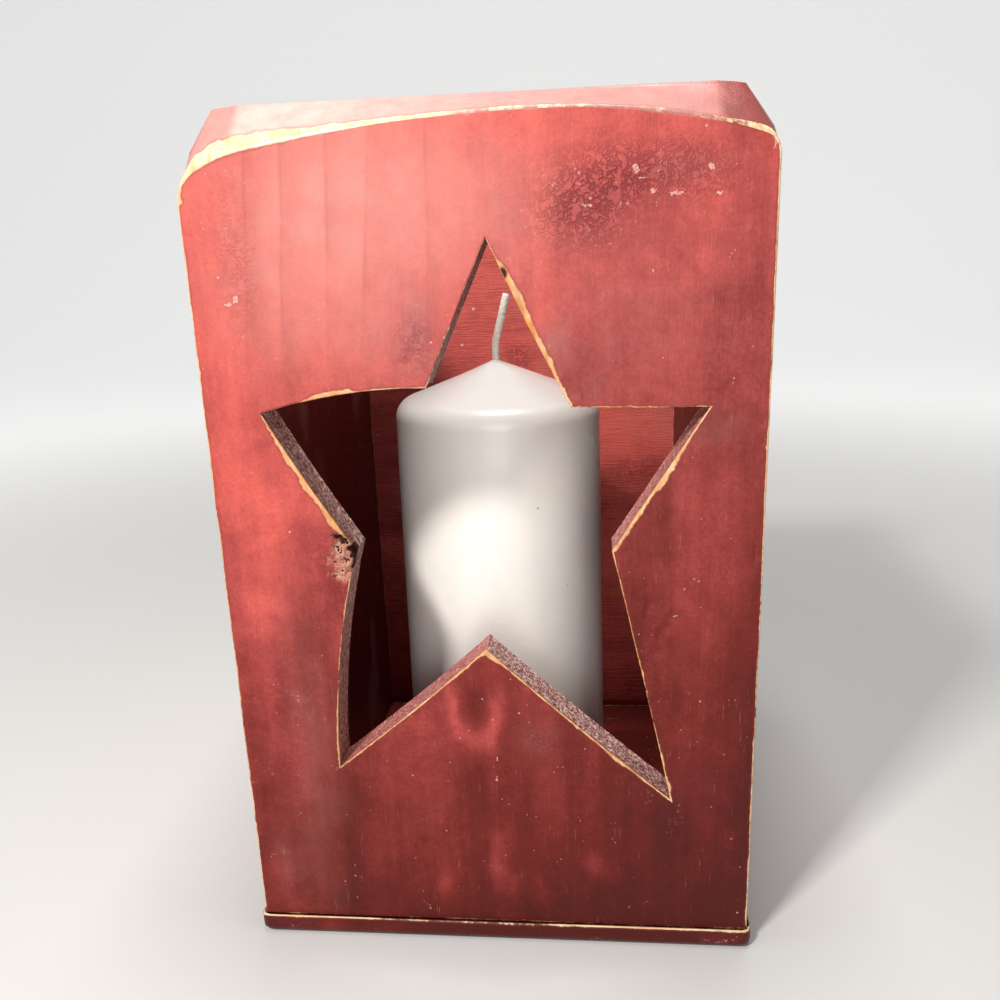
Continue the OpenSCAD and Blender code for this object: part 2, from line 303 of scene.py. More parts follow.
def slant(ring, ray):
    """How far each point of a ring moves along its ray for every millimetre across the
    ring: one over the smaller of the products of the ray with its two sides' normals."""
    side = np.roll(ring, -1, axis=0) - ring
    side /= np.maximum(np.linalg.norm(side, axis=1, keepdims=True), 1e-9)
    normal = np.stack([side[:, 1], -side[:, 0]], axis=1)
    after = np.abs(np.sum(normal * ray, axis=1))
    before = np.abs(np.sum(np.roll(normal, 1, axis=0) * ray, axis=1))
    return 1 / np.clip(np.minimum(after, before), LEAST_CROSSING, 1)


FRONT_COLUMNS = 780
# How many even rays are tried to find the crowded ones
TRIAL_RAYS = 24001


def front_rays(front, star):
    """Angles of the rays that carry the front board's grid, crowded so that the steps
    along the star and along the outline are even, with one on every corner."""
    fine = np.linspace(-math.pi, math.pi, TRIAL_RAYS)
    star_step = np.linalg.norm(np.diff(ray_hits(star, fine)[0], axis=0), axis=1)
    edge_step = np.linalg.norm(np.diff(ray_hits(front, fine)[0], axis=0), axis=1)
    total = np.append(0, np.cumsum(np.maximum(star_step, 0.5 * edge_step)))
    angles = np.interp(np.linspace(0, total[-1], FRONT_COLUMNS, endpoint=False), total, fine)
    right_start = 2 * SIDE_STEPS
    left_start = right_start + SHOULDER_STEPS + ARCH_STEPS
    clip_in = CLIP_SHARE * SHOULDER_STEPS
    numbers = np.array([0, SIDE_STEPS, right_start, right_start + clip_in,
                        right_start + SHOULDER_STEPS, left_start,
                        left_start + SHOULDER_STEPS - clip_in, left_start + SHOULDER_STEPS], float)
    corners = [np.array(c) for c, _ in STAR] + list(at_index(front, numbers))
    for corner in corners:
        angle = math.atan2(corner[1] - STAR_CENTRE[1], corner[0] - STAR_CENTRE[0])
        angles[np.argmin(np.abs(angles - angle))] = angle
    return np.sort(angles)


# Width of the bare band beside the star's arris, as (share of the edge, millimetres)
STAR_WEAR = [
    [(0, 0.1), (0.1, 0.6), (0.2, 2.6), (0.5, 3.0), (0.8, 2.0), (1, 1.5)],
    [(0, 0.5), (0.3, 0.3), (0.6, 0.35), (1, 0.3)],
    [(0, 0.6), (0.3, 1.6), (0.5, 2.0), (0.8, 1.5), (1, 1.8)],
    [(0, 1.0), (0.12, 0.4), (0.5, 0.3), (0.75, 0.35), (0.85, 1.1), (0.95, 1.2), (1, 0.5)],
    [(0, 0.4), (0.2, 0.6), (0.28, 1.5), (0.4, 0.7), (0.8, 0.5), (0.93, 1.0), (1, 2.6)],
    [(0, 2.6), (0.06, 1.1), (0.3, 0.5), (0.8, 0.6), (1, 0.3)],
    [(0, 0.4), (0.1, 1.1), (0.25, 0.6), (0.5, 0.3), (0.85, 0.5), (1, 1.2)],
    [(0, 2.0), (0.2, 2.0), (0.5, 2.5), (0.7, 1.9), (0.9, 0.9), (1, 0.1)],
    [(0, 0.0), (0.25, 0.3), (0.36, 2.2), (0.52, 2.6), (0.62, 0.6), (1, 0.7)],
    [(0, 0.4), (0.15, 0.1), (1, 0.0)]]
# The same beside the outer arris: on the face and on the bevel by X, on the sides by height
ARCH_WEAR = [(-83, 1.3), (-76, 1.2), (-62, 0.9), (-45, 0.6), (-25, 0.35), (10, 0.15), (30, 0.0),
             (62, -0.15), (70, 0.1), (78, 0.6), (83, 0.3)]
BEVEL_WEAR = [(-83, 2.4), (-70, 3.4), (-55, 2.6), (-35, 1.4), (-10, 0.5), (30, -0.05), (66, -0.2),
              (83, 0.2)]
SIDE_WEAR = [(7, 0.7), (20, 0.45), (60, 0.35), (120, 0.3), (180, 0.35), (236, 0.5)]
# How much pale painted highlight, standing for the lamp's glare, lies on the bevel, by X
BEVEL_GLARE = [(-83, 0.42), (-68, 0.5), (-65.5, 1.0), (-50, 1.0), (-25, 0.8), (10, 0.55),
                (60, 0.40), (66, 0.36), (68, 0.08), (83, 0.0)]
# Depths inside a bare band are kept within this many millimetres
BAND_LIMIT = 8
# How much raw sawn wood each of the star's cut faces shows, and how much painted shade darkens it
# where it faces away from the lamp
CUT_SHARE = [0.6, 0.8, 0.42, 0.5, 0.95, 0.38, 0.45, 0.75, 0.6, 0.5]
CUT_SHADE = [0.1, 0.3, 0.0, 0.2, 0.0, 0.0, 0.25, 0.3, 0.4, 0.75]


def star_wear(points):
    """Width of the bare band for points on the star, from the nearest edge's own list, and
    the shares of raw wood and of painted shade on that edge's cut face."""
    best, width = np.full(len(points), 1e9), np.zeros(len(points))
    number = np.zeros(len(points), int)
    for i, wear in enumerate(STAR_WEAR):
        a, b = np.array(STAR[i][0]), np.array(STAR[(i + 1) % len(STAR)][0])
        share = np.clip((points - a) @ (b - a) / np.sum((b - a) ** 2), 0, 1)
        away = np.linalg.norm(points - a - share[:, None] * (b - a), axis=1)
        here = from_table(share, wear)
        width = np.where(away < best, here, width)
        number = np.where(away < best, i, number)
        best = np.minimum(best, away)
    return width, np.array(CUT_SHARE)[number], np.array(CUT_SHADE)[number]


def nearest(points, ring, values):
    """Distance from each point to a closed ring of points and the ring's value there."""
    a, b = ring, np.roll(ring, -1, axis=0)
    along = b - a
    length2 = np.maximum(np.sum(along ** 2, axis=1), 1e-12)
    t = np.clip(np.einsum("pij,ij->pi", points[:, None] - a, along) / length2, 0, 1)
    away = np.linalg.norm(points[:, None] - a - t[..., None] * along, axis=2)
    best = np.argmin(away, axis=1)
    row = np.arange(len(points))
    return away[row, best], values[best]


# Where the dark glaze was left thick (positive) or wiped and worn thin: x, z, rx, rz, amount
GLAZE = [
    (31, 239, 13, 10, 0.06), (57, 246, 9, 4, 0.05), (65, 212, 8, 4, 0.12),
    (33, 195, 9, 12, 0.10), (-17, 203, 6, 12, 0.10), (60, 180, 18, 8, 0.08),
    (45, 116, 5, 26, 0.20), (50, 150, 6, 14, 0.12), (57, 47, 9, 15, 0.16), (61, 92, 5, 12, 0.08),
    (-50, 34, 4.5, 34, 0.16), (-47, 58, 3.5, 7, 0.12), (-62, 88, 12, 22, 0.10),
    (-79, 60, 4, 50, 0.10), (79, 60, 4, 70, 0.10), (-78, 230, 4, 40, 0.10),
    (-55, 112, 6, 10, 0.16), (-50, 95, 5, 10, 0.14), (0, 9, 90, 7, 0.08), (-5.5, 90, 4, 7, 0.12),
    (-48, 128, 5, 8, 0.14), (52, 24, 20, 11, 0.05), (-40, 20, 12, 10, 0.06),
    (-66, 150, 8, 20, -0.20), (-70, 121, 7, 6, -0.15), (-54, 160, 5, 6, -0.10),
    (0, 60, 42, 34, 0.04), (10, 20, 75, 14, 0.05), (-50, 30, 30, 34, 0.05),
    (66, 118, 7, 30, -0.16), (70, 155, 7, 12, -0.06), (-17.6, 21.5, 2.2, 6, -0.22),
    (-1, 28, 3.0, 7, -0.28), (4.5, 21, 2.0, 5, -0.18), (14, 21, 2.0, 4, -0.16),
    (32, 29.5, 4, 3.5, -0.24), (-65, 57, 5, 8, -0.10), (-28, 78, 9, 14, -0.08),
    (-75, 26, 4, 14, -0.14), (-70, 12, 5, 5, -0.14), (-30, 225, 40, 30, -0.02),
    (-60, 220, 30, 60, 0.04)]
# The pale ring under the crotch: centre, half width, half height, width of the line
GLAZE_RING = (-5, 91, 7.8, 16.5, 2.2, -0.24)
# Grey bloom in the varnish: x, z, rx, rz, amount
BLOOM = [(-17, 204, 6, 13, 0.75), (-11, 216, 4, 8, 0.4), (22, 200, 5, 8, 0.6), (31, 188, 6, 4, 0.5),
         (58, 246, 9, 4, 0.6), (66, 176, 9, 5, 0.3), (15, 76, 7, 7, 0.35), (33, 95, 4, 4, 0.4),
         (-73, 30, 4, 12, 0.35), (-58, 90, 8, 26, 0.15), (40, 205, 26, 12, 0.25)]
# Where a painted highlight turns the paint pink: the lamp's sheen, mostly at the upper left
SHEEN_PATCHES = [(-42, 242, 27, 28, 0.95), (-60, 214, 16, 22, 0.35), (-8, 240, 26, 20, 0.55),
         (-30, 206, 18, 14, 0.35), (-60, 62, 7, 46, 0.14), (30, 232, 30, 16, 0.06)]
# Amber stain beside the star's top arm
AMBER = [(14, 208, 11, 22, 1.0)]


def front_glaze(x, z):
    """The glaze: darker low down and to the right, which is heavier glaze and also painted
    shade for the lamp's falloff, with the patches listed above, whose outlines a noise bends."""
    p = np.stack([x, np.zeros_like(x), z], axis=-1)
    bent_x = x + 1.5 * rough(p, 8, 12)
    bent_z = z + 3.0 * rough(p, 13, 15)
    # Darker low and to the right: heavier glaze, and painted shade for the lamp's falloff
    base = 0.50 - 0.0025 * (z - 140) + 0.0019 * x
    ring_x, ring_z, half_x, half_z, line, amount = GLAZE_RING
    reach = np.hypot((bent_x - ring_x) / half_x, (z - ring_z) / half_z)
    ring = amount * np.exp(-((reach - 1) * half_x / line) ** 2) * smooth(ring_z + 3 - z, -6, 6)
    streaks = 0.05 * rough(p, (6, 9, 90), 11) + 0.03 * rough(p, (22, 24, 26), 21)
    return base + hump(bent_x, bent_z, GLAZE) + ring + streaks


# Pits and gouges in the front face: x, z, half width, half height, depth
PITS = [
    (8.2, 220.6, 1.4, 2.0, 0.9), (55.1, 116, 1.4, 2.2, 0.9), (53.0, 112.5, 1.1, 2.0, 0.7),
    (56.6, 118.2, 1.7, 0.8, 0.6), (49.2, 122, 1.2, 2.6, 0.8), (48.4, 129, 0.9, 2.2, 0.7),
    (50.5, 117, 1.6, 0.7, 0.5), (51.5, 107, 1.4, 1.0, 0.6), (80.2, 138.6, 0.9, 1.6, 0.7),
    (-80.6, 117, 1.0, 1.6, 0.6), (-77, 128, 0.9, 1.4, 0.5), (-66.5, 245, 0.9, 1.8, 0.5),
    (-65.8, 231, 1.2, 2.6, 0.5), (-71, 220.6, 1.4, 2.4, 0.5), (-66.4, 215.0, 2.0, 1.3, 0.6),
    (-61.5, 218, 1.2, 2.2, 0.4), (-18.5, 200, 2.2, 1.4, 0.4), (-16.8, 203.5, 1.6, 1.2, 0.4),
    (-20.5, 196.5, 1.8, 1.1, 0.4), (77.5, 254, 1.8, 1.2, 0.9), (80.5, 251, 1.0, 1.8, 0.8),
    (66, 58, 3.6, 0.6, 0.25), (66.5, 55.5, 3.2, 0.6, 0.25), (66, 53, 3.4, 0.6, 0.25),
    (67, 50.3, 3.2, 0.6, 0.22), (66.4, 60.5, 3.6, 0.6, 0.22), (41.5, 64.8, 2.2, 0.9, 0.5),
    (44.6, 62.6, 1.2, 0.8, 0.5)]
# Of these the first is painted black inside and the next ones, up to the twelfth, painted dark:
# painted shade in the pits
BLACK_PITS, DARK_PITS = PITS[:1], PITS[1:12]
# The knot beside the left waist: its crumbled patch, and the holes in it
KNOT = (-42.8, 137.4, 6.4, 9.4)
KNOT_HOLES = [
    (-45.4, 144.4, 1.5, 0.7, 1.8), (-43.6, 143.0, 1.4, 0.8, 1.8), (-40.0, 139.4, 1.5, 1.9, 4.0),
    (-42.4, 140.4, 0.8, 0.8, 2.0), (-41.2, 134.6, 1.0, 0.8, 1.8), (-43.5, 137.2, 0.8, 0.5, 1.4),
    (-42.9, 133.2, 0.5, 0.8, 1.0), (-39.8, 136.2, 0.9, 1.1, 2.4), (-45.2, 140.4, 0.6, 0.4, 1.0)]
# Where old paint has wrinkled: x, z, rx, rz, amount
WRINKLES = [
    (30, 237, 12, 10, 1.0), (42, 244, 13, 6, 0.75), (62, 243, 12, 6, 0.45), (52, 251, 20, 4, 0.35),
    (-67, 225, 5, 20, 0.45), (-18, 202, 6, 9, 0.5), (-50, 140, 7, 9, 0.4), (-46, 122, 6, 8, 0.5),
    (-62, 92, 6, 12, 0.35), (50, 116, 3, 12, 0.6), (15, 76, 7, 6, 0.5), (60, 62, 10, 12, 0.4),
    (-70, 60, 6, 20, 0.5)]
# Planer chatter across the grain, low on both sides
CHATTER = [(-71, 58, 8, 22, 1.0), (-61, 66, 4, 12, 0.8), (66, 60, 8, 16, 0.9), (70, 40, 6, 14, 0.4)]


def front_relief(x, z):
    """How far the front face lies below its plane: a planed swell, raised grain, pits,
    planer chatter and wrinkled paint. All are inwards."""
    p = np.stack([x, np.zeros_like(x), z], axis=-1)
    swell = 0.10 * (1 + noise(p, (45, 45, 80), 3)) + 0.03 * (1 + noise(p, (3.5, 3, 50), 5))
    pits = np.maximum(hump(x + 0.5 * noise(p, 2.2, 31), z + 0.5 * noise(p, 2.2, 32), PITS), 0)
    wave = np.maximum(np.sin(z * 2.6 + 1.4 * noise(p, (6, 6, 10), 41)), 0)
    chatter = 0.14 * wave * hump(x, z, CHATTER) * smooth(noise(p, (3, 3, 5), 42), -0.3, 0.5)
    wrinkles = 0.16 * hump(x, z, WRINKLES) * smooth(-np.abs(rough(p, 3.0, 51, 2)), -0.22, 0)
    return swell + pits + chatter + wrinkles


def knot_marks(x, z):
    """The knot's crumbled patch from 0 to 1, and the depth of its holes, both with
    outlines bent by a noise."""
    kx, kz, rx, rz = KNOT
    p = np.stack([x, np.zeros_like(x), z], axis=-1)
    x, z = x + 0.45 * noise(p, 1.7, 61), z + 0.45 * noise(p, 1.7, 62)
    inside = 1 - np.hypot((x - kx) / rx, (z - kz) / rz) + 0.25 * rough(p, 2.6, 63)
    return smooth(inside, 0.05, 0.34), hump(x, z, KNOT_HOLES)


FACE_ROWS, ARRIS_ROWS, WALL_ROWS, BACK_ROWS, CUT_ROWS = 58, 5, 12, 12, 16
# Mean radius of the arrises: round the star, outside on the face, how much more on the
# arch, at the foot of the board, and on the back face
STAR_ROUND, OUTER_ROUND, ARCH_MORE, FOOT_ROUND_Y, REAR_ROUND = 0.5, 0.7, 0.3, 0.15, 0.5
# How deep the knot's crumbs lie, and how fast its holes close behind the face
CRUMB_DEPTH, KNOT_FADE = 0.35, 2.6
# The saw's deep and shallow ridges in the star's cut faces
SAW_DEEP, SAW_FINE = 0.16, 0.10


def build_front_board():
    """One closed grid that runs round the star in one direction and round the board's
    section in the other: star arris, front face, outer arris, bevel or side, back arris,
    back face and the star's cut wall. Each column keeps to one ray from the star's centre,
    so columns never cross. An outer arris is a parabola that leaves the face level and
    meets the bevel at the bevel's own slope."""
    front, back = front_outlines()
    star = star_outline()
    angles = front_rays(front, star)
    ray = np.stack([np.cos(angles), np.sin(angles)], axis=1)
    hole = ray_hits(star, angles)[0]
    face, number = ray_hits(front, angles)
    rear = at_index(back, number)
    rear_ray = (rear - STAR_CENTRE) / np.linalg.norm(rear - STAR_CENTRE, axis=1, keepdims=True)
    into_wood = ray * slant(hole, ray)[:, None]
    face_in = -ray * slant(face, ray)[:, None]
    rear_in = -rear_ray * slant(rear, rear_ray)[:, None]
    hole_flat, face_flat = np.insert(hole, 1, 0, axis=1), np.insert(face, 1, 0, axis=1)
    on_arch = smooth(face[:, 1], 232, 252)
    on_base = smooth(-face[:, 1], -BASE_T - 2, -BASE_T - 0.2)
    hole_round = (STAR_ROUND + 0.18 * rough(hole_flat, 7, 71)
                  + 0.7 * smooth(rough(hole_flat, 2.2, 76), 0.6, 1.3))
    chip = 0.45 * smooth(rough(face_flat, 2.4, 73), 0.5, 1.2) * (1 - on_base)
    face_round = OUTER_ROUND + ARCH_MORE * on_arch + 0.2 * rough(face_flat, 9, 72)
    face_round = face_round * (1 - on_base) + FOOT_ROUND_Y * on_base
    hole_width, cut_share, cut_shade = star_wear(hole)
    hole_width = hole_width * (0.75 + 0.22 * rough(hole_flat, 5, 74)) - 0.05
    sides = np.abs(face[:, 0]) > HALF_W - 0.05
    unevenness = (0.9 + 0.3 * rough(face_flat, 4, 75)) * (1 - on_base)
    side_width = from_table(face[:, 1], SIDE_WEAR)
    face_width = np.where(sides, side_width, from_table(face[:, 0], ARCH_WEAR)) * unevenness
    edge_width = np.where(sides, side_width, from_table(face[:, 0], BEVEL_WEAR)) * unevenness

    rows, kinds, bare = [], [], []

    def add(plan, depth, kind, band):
        """One row: its plan points, its depth behind the face, its kind and how deep
        inside the bare band it lies."""
        rows.append(np.stack([plan[:, 0], np.broadcast_to(depth, len(plan)), plan[:, 1]], axis=1))
        kinds.append(kind)
        bare.append(band)

    quarter = np.linspace(0, math.pi / 2, ARRIS_ROWS)
    for a in quarter[:-1]:
        add(hole + into_wood * (hole_round * (1 - math.cos(a)))[:, None],
            hole_round * (1 - math.sin(a)), "hole_arris", hole_width)
    inner = hole + into_wood * hole_round[:, None]
    outer = face + face_in * (face_round + chip)[:, None]
    t = np.linspace(0, 1, FACE_ROWS)
    for w in 0.66 * t + 0.34 * (3 * t ** 2 - 2 * t ** 3):
        plan = inner * (1 - w) + outer * w
        hole_away, hole_band = nearest(plan, hole, hole_width)
        face_away, face_band = nearest(plan, face, face_width)
        add(plan, 0.0, "face", np.maximum(hole_band - hole_away, face_band - face_away))
    rise = (rear - face) / BOARD_T
    for u in np.linspace(0, 1, ARRIS_ROWS)[1:]:
        depth = face_round * u ** 2
        add(face + face_in * ((face_round + chip) * (1 - u) ** 2)[:, None] + rise * depth[:, None],
            depth, "edge_arris", np.maximum(face_width, edge_width * u))
    for t in np.linspace(0, 1, WALL_ROWS)[1:]:
        depth = face_round + (BOARD_T - REAR_ROUND - face_round) * t
        add(face + rise * depth[:, None], depth, "edge", edge_width - (depth - face_round))
    for a in quarter[1:]:
        add(rear + rear_in * REAR_ROUND * (1 - math.cos(a)),
            BOARD_T - REAR_ROUND * (1 - math.sin(a)), "rear_arris", 0.25 * unevenness)
    inner, outer = hole + into_wood * REAR_ROUND, rear + rear_in * REAR_ROUND
    for w in np.linspace(0, 1, BACK_ROWS)[1:]:
        add(outer * (1 - w) + inner * w, BOARD_T, "back", np.full(len(ray), -1.0))
    for a in quarter[::-1][1:]:
        add(hole + into_wood * REAR_ROUND * (1 - math.cos(a)),
            BOARD_T - REAR_ROUND * (1 - math.sin(a)), "back_arris", np.full(len(ray), -1.0))
    for t in np.linspace(1, 0, CUT_ROWS)[1:-1]:
        depth = hole_round + (BOARD_T - REAR_ROUND - hole_round) * t
        add(hole, depth, "cut", 0.6 * hole_width - (depth - hole_round))

    grid, kinds = np.array(rows), np.array(kinds)[:, None]
    x, y, z = (grid[..., axis].copy() for axis in range(3))
    radius = np.where(np.isin(kinds, ("hole_arris", "cut")), hole_round, face_round)
    facing = np.clip(1 - y / np.maximum(radius, 0.1), 0, 1)
    patch, holes = knot_marks(x, z)
    crumbs = patch * CRUMB_DEPTH * (1 + rough(grid, 1.5, 64, 2))
    sink = front_relief(x, z) * facing
    sink = sink + (holes + crumbs) * np.exp(-y / KNOT_FADE) * (kinds != "cut")

    # The star's cut wall: saw ridges through the thickness, and crumbs at the knot
    cut = np.isin(kinds, ("cut", "hole_arris", "back_arris"))
    saw = (SAW_DEEP * (1 + rough(grid, (1.4, 5, 1.4), 81))
           + SAW_FINE * (1 + noise(grid, (3, 16, 3), 85)))
    inside = smooth(y, 0, 1.2) * (1 - smooth(y, BOARD_T - 1.2, BOARD_T))
    push = cut * (saw * inside + 0.4 * crumbs)
    # The bevel and the sides: hand-cut swells, inwards
    edge = np.isin(kinds, ("edge", "edge_arris", "rear_arris")) * (1 - on_base)
    sag = edge * 0.07 * (1 + noise(grid, (14, 5, 14), 91))
    step = push[..., None] * into_wood + sag[..., None] * face_in
    grid[..., 0] += step[..., 0]
    grid[..., 2] = np.clip(grid[..., 2] + step[..., 1], BASE_T, TOP_Z)
    grid[..., 1] += sink - HALF_D

    bevel = np.isin(kinds, ("edge", "rear_arris", "edge_arris")) * on_arch
    glaze = np.where(np.isin(kinds, ("face", "hole_arris", "edge_arris")), front_glaze(x, z),
                     0.48 + 0.1 * noise(grid, 20, 95))
    # On the bevel: glaze, plus painted shade that darkens it towards the right and most on the
    # right clipped facet, away from the lamp
    bevel_glaze_and_shade = (0.34 + 0.0012 * x + 0.08 * rough(grid, (12, 8, 12), 96)
                + 0.16 * smooth(x, 66, 69))
    glaze = glaze * (1 - bevel) + bevel * bevel_glaze_and_shade
    # Painted shade on the cut faces that turn away from the lamp
    glaze = glaze + cut * smooth(y, 0.4, 2.0) * (cut_shade - 0.05)
    near_star = np.exp(-np.linalg.norm(grid[..., ::2] - hole, axis=2) / 4)
    # Painted shade in the knot's holes and the listed pits
    dark = holes / 1.6 + (1.1 * hump(x, z, BLACK_PITS) + 0.5 * hump(x, z, DARK_PITS)) * facing
    marks = {
        "bare": np.clip(np.array(bare), -BAND_LIMIT, BAND_LIMIT), "glaze": glaze,
        "wrinkle": np.clip(hump(x, z, WRINKLES) * facing, 0, 1),
        "bloom": np.clip(hump(x + rough(grid, 5, 97), z, BLOOM), 0, 1) * facing,
        "sawn": cut * smooth(y, 0.3, 1.3) * (y < BOARD_T - 0.1) * cut_share,
        "broken": patch * (y < 5),
        "pit_shade": np.clip(dark, 0, 1) * (y < 5),
        # Painted highlight: the lamp's glare on the bevel, as pale paint
        "bevel_glare": bevel * from_table(x, BEVEL_GLARE),
        # Painted highlight: a pink sheen from the lamp, mostly at the upper left
        "painted_sheen": np.clip(hump(x + 3 * rough(grid, 12, 98), z, SHEEN_PATCHES), 0, 1) * facing,
        "stain": (0.10 + 0.25 * (1 - on_arch) + 0.30 * near_star
                  + 0.6 * hump(x, z, AMBER) * near_star)}
    shape = (len(rows), FRONT_COLUMNS)
    return make_piece("star_front", grid.reshape(-1, 3), grid_quads(*shape, True, True), "box",
                      "front_board",
                      {k: np.broadcast_to(v, shape).ravel() for k, v in marks.items()})


# ---------- flat boards: two face grids joined by a rounded edge ----------


def crowded_lines(low, high, step, places=(), tight=0.5, reach=2.5):
    """Grid lines from low to high, a step apart, and closer where small marks need them."""
    lines = list(np.linspace(low, high, max(2, int(round((high - low) / step)) + 1)))
    for place in places:
        lines += list(np.arange(place - reach, place + reach + tight / 2, tight))
    lines = np.unique(np.round(np.clip(lines, low, high), 4))
    keep = np.append(True, np.diff(lines) > 0.3)
    keep[-1] = True
    return lines[keep]


def edged_board(name, low, high, axes, radii, plan_radius, lines, relief, marking, node):
    """A board between two corners. Its plan is a rounded rectangle on two axes; along the
    third, its edge follows a quarter circle of one radius below, a straight side and a
    quarter circle of the other above. The plan's corner square becomes a quarter disc by
    scaling each point (a, b) by max(a, b) / |(a, b)|."""
    ax, bx, tx = axes
    la, lb = lines
    mid = np.array([(low[ax] + high[ax]) / 2, (low[bx] + high[bx]) / 2])
    half = np.array([(high[ax] - low[ax]) / 2, (high[bx] - low[bx]) / 2])
    thick = high[tx] - low[tx]

    def plan(u, v, inset):
        """Points of the plan drawn in by the inset, from shares u and v of its halves."""
        size = half - inset
        corner = max(plan_radius - inset, 0.05)
        p = np.stack([u * size[0], v * size[1]], axis=-1)
        core = np.clip(p, -(size - corner), size - corner)
        rest = p - core
        length = np.linalg.norm(rest, axis=-1, keepdims=True)
        scale = np.max(np.abs(rest), axis=-1, keepdims=True) / np.maximum(length, 1e-9)
        return core + rest * np.where(length > 1e-9, scale, 1)

    u, v = (la - mid[0]) / half[0], (lb - mid[1]) / half[1]
    gu, gv = np.meshgrid(u, v, indexing="ij")
    n, m = len(u), len(v)
    ring_u = np.concatenate([u, np.ones(m - 2), u[::-1], -np.ones(m - 2)])
    ring_v = np.concatenate([-np.ones(n), v[1:-1], np.ones(n), v[1:-1][::-1]])
    quarter = np.linspace(0, math.pi / 2, 6)
    profile = [(radii[0] * (1 - math.sin(a)), radii[0] * (1 - math.cos(a)),
                (a - math.pi / 4) * radii[0]) for a in quarter]
    rise = np.linspace(radii[0], thick - radii[1], 6)[1:-1]
    profile += [(0.0, h, min(h - radii[0] + math.pi / 4 * radii[0],
                             thick - radii[1] - h + math.pi / 4 * radii[1])) for h in rise]
    profile += [(radii[1] * (1 - math.cos(a)), thick - radii[1] * (1 - math.sin(a)),
                 (a - math.pi / 4) * radii[1]) for a in quarter]
    parts, faces, away, normal, count = [], [], [], [], 0

    def place(pl, t):
        """Points of the plan at the height t above the board's lower face."""
        out = np.zeros(pl.shape[:-1] + (3,))
        out[..., ax], out[..., bx] = pl[..., 0] + mid[0], pl[..., 1] + mid[1]
        out[..., tx] = low[tx] + t
        return out

    for t, inset, sign in ((0.0, radii[0], -1), (thick, radii[1], 1)):
        pl = plan(gu, gv, inset)
        parts.append(place(pl, t).reshape(-1, 3))
        quads = grid_quads(n, m) + count
        faces.append(quads if sign > 0 else quads[:, ::-1])
        border = np.min(half - inset - np.abs(pl), axis=-1)
        away.append((border + inset * math.pi / 4).ravel())
        face_normal = np.zeros((n * m, 3))
        face_normal[:, tx] = sign
        normal.append(face_normal)
        count += n * m
    rows, row_away = [], []
    for inset, t, d in profile:
        rows.append(place(plan(ring_u, ring_v, inset), t))
        row_away.append(np.full(len(ring_u), abs(d)))
    grid = np.array(rows)
    parts.append(grid.reshape(-1, 3))
    faces.append(grid_quads(len(rows), len(ring_u), False, True) + count)
    away.append(np.concatenate(row_away))
    side_normal = np.zeros_like(grid)
    side_normal[..., ax] = ring_u * (np.abs(ring_u) == 1)
    side_normal[..., bx] = ring_v * (np.abs(ring_v) == 1)
    side_normal /= np.maximum(np.linalg.norm(side_normal, axis=-1, keepdims=True), 1e-9)
    normal.append(side_normal.reshape(-1, 3))
    points, quads = np.concatenate(parts), np.concatenate(faces)
    # Axes in a left-handed order would turn the faces inside out
    if (ax, bx, tx) in ((0, 2, 1), (2, 1, 0), (1, 0, 2)):
        quads = quads[:, ::-1]
    away, normal = np.concatenate(away), np.concatenate(normal)
    points, quads, extra = weld(points, quads, {"away": away, "normal": normal})
    marks = marking(points, extra["away"])
    points = points - extra["normal"] * relief(points)[:, None]
    return make_piece(name, points, quads, "box", node, marks)


def board_relief(seed, grain):
    """How far a board's faces lie inside the solid: a planed swell and raised grain."""
    def relief(p):
        """Noise in wide cells for the swell, and in narrow ones along the grain."""
        swell = 0.05 * (1 + noise(p, np.array(grain) * 14, seed))
        return swell + 0.02 * (1 + noise(p, grain, seed + 1))
    return relief


def side_inner_shade(p):
    """1 on the side boards' inner faces, which painted shade darkens, and 0 elsewhere."""
    return smooth(HALF_W - BOARD_T + 1 - np.abs(p[:, 0]), 0.0, 0.6) * (np.abs(p[:, 0]) > 60)


def panel_painted_shadow(p):
    """Painted shadow of the candle on the back board's inner face, low down on the left."""
    inner = p[:, 1] < HALF_D - BOARD_T + 1
    return 0.6 * smooth(-p[:, 0], -5, 35) * smooth(200 - p[:, 2], 0, 60) * inner


def board_marks(seed, glaze, width, grain, painted_shade):
    """The marks of a plain board: its worn arrises, and glaze that follows the grain, with
    more of it low down, and painted shade where the shade function says."""
    def marks(p, away):
        """The marks' values at points that lie this far from the nearest arris."""
        band = width * (0.9 + 0.5 * rough(p, (5, 5, 5), seed + 2)) - away
        shade = glaze + 0.10 * rough(p, np.array(grain) * 5, seed + 3)
        shade += 0.08 * rough(p, 30, seed + 4) + 0.16 * smooth(-p[:, 2], -70, -7)
        spots = 0.6 * smooth(noise(p, 26, seed + 5), 0.45, 0.85)
        return {"bare": np.clip(band, -BAND_LIMIT, BAND_LIMIT),
                # Painted shade from the given function deepens the glaze
                "glaze": shade + 0.75 * painted_shade(p), "wrinkle": spots,
                "bloom": 0.6 * smooth(noise(p, (14, 14, 30), seed + 6), 0.4, 0.8)}
    return marks


# Radii of a board's arrises, at the low and the high end of its third axis, and of its corners
PANEL_ARRISES, PANEL_CORNER = (0.4, 1.1), 1.3
SIDE_ARRISES, SIDE_CORNER = (0.35, 0.35), 0.5
PLANK_ARRISES, PLANK_CORNER = (3.0, 0.7), 3.0


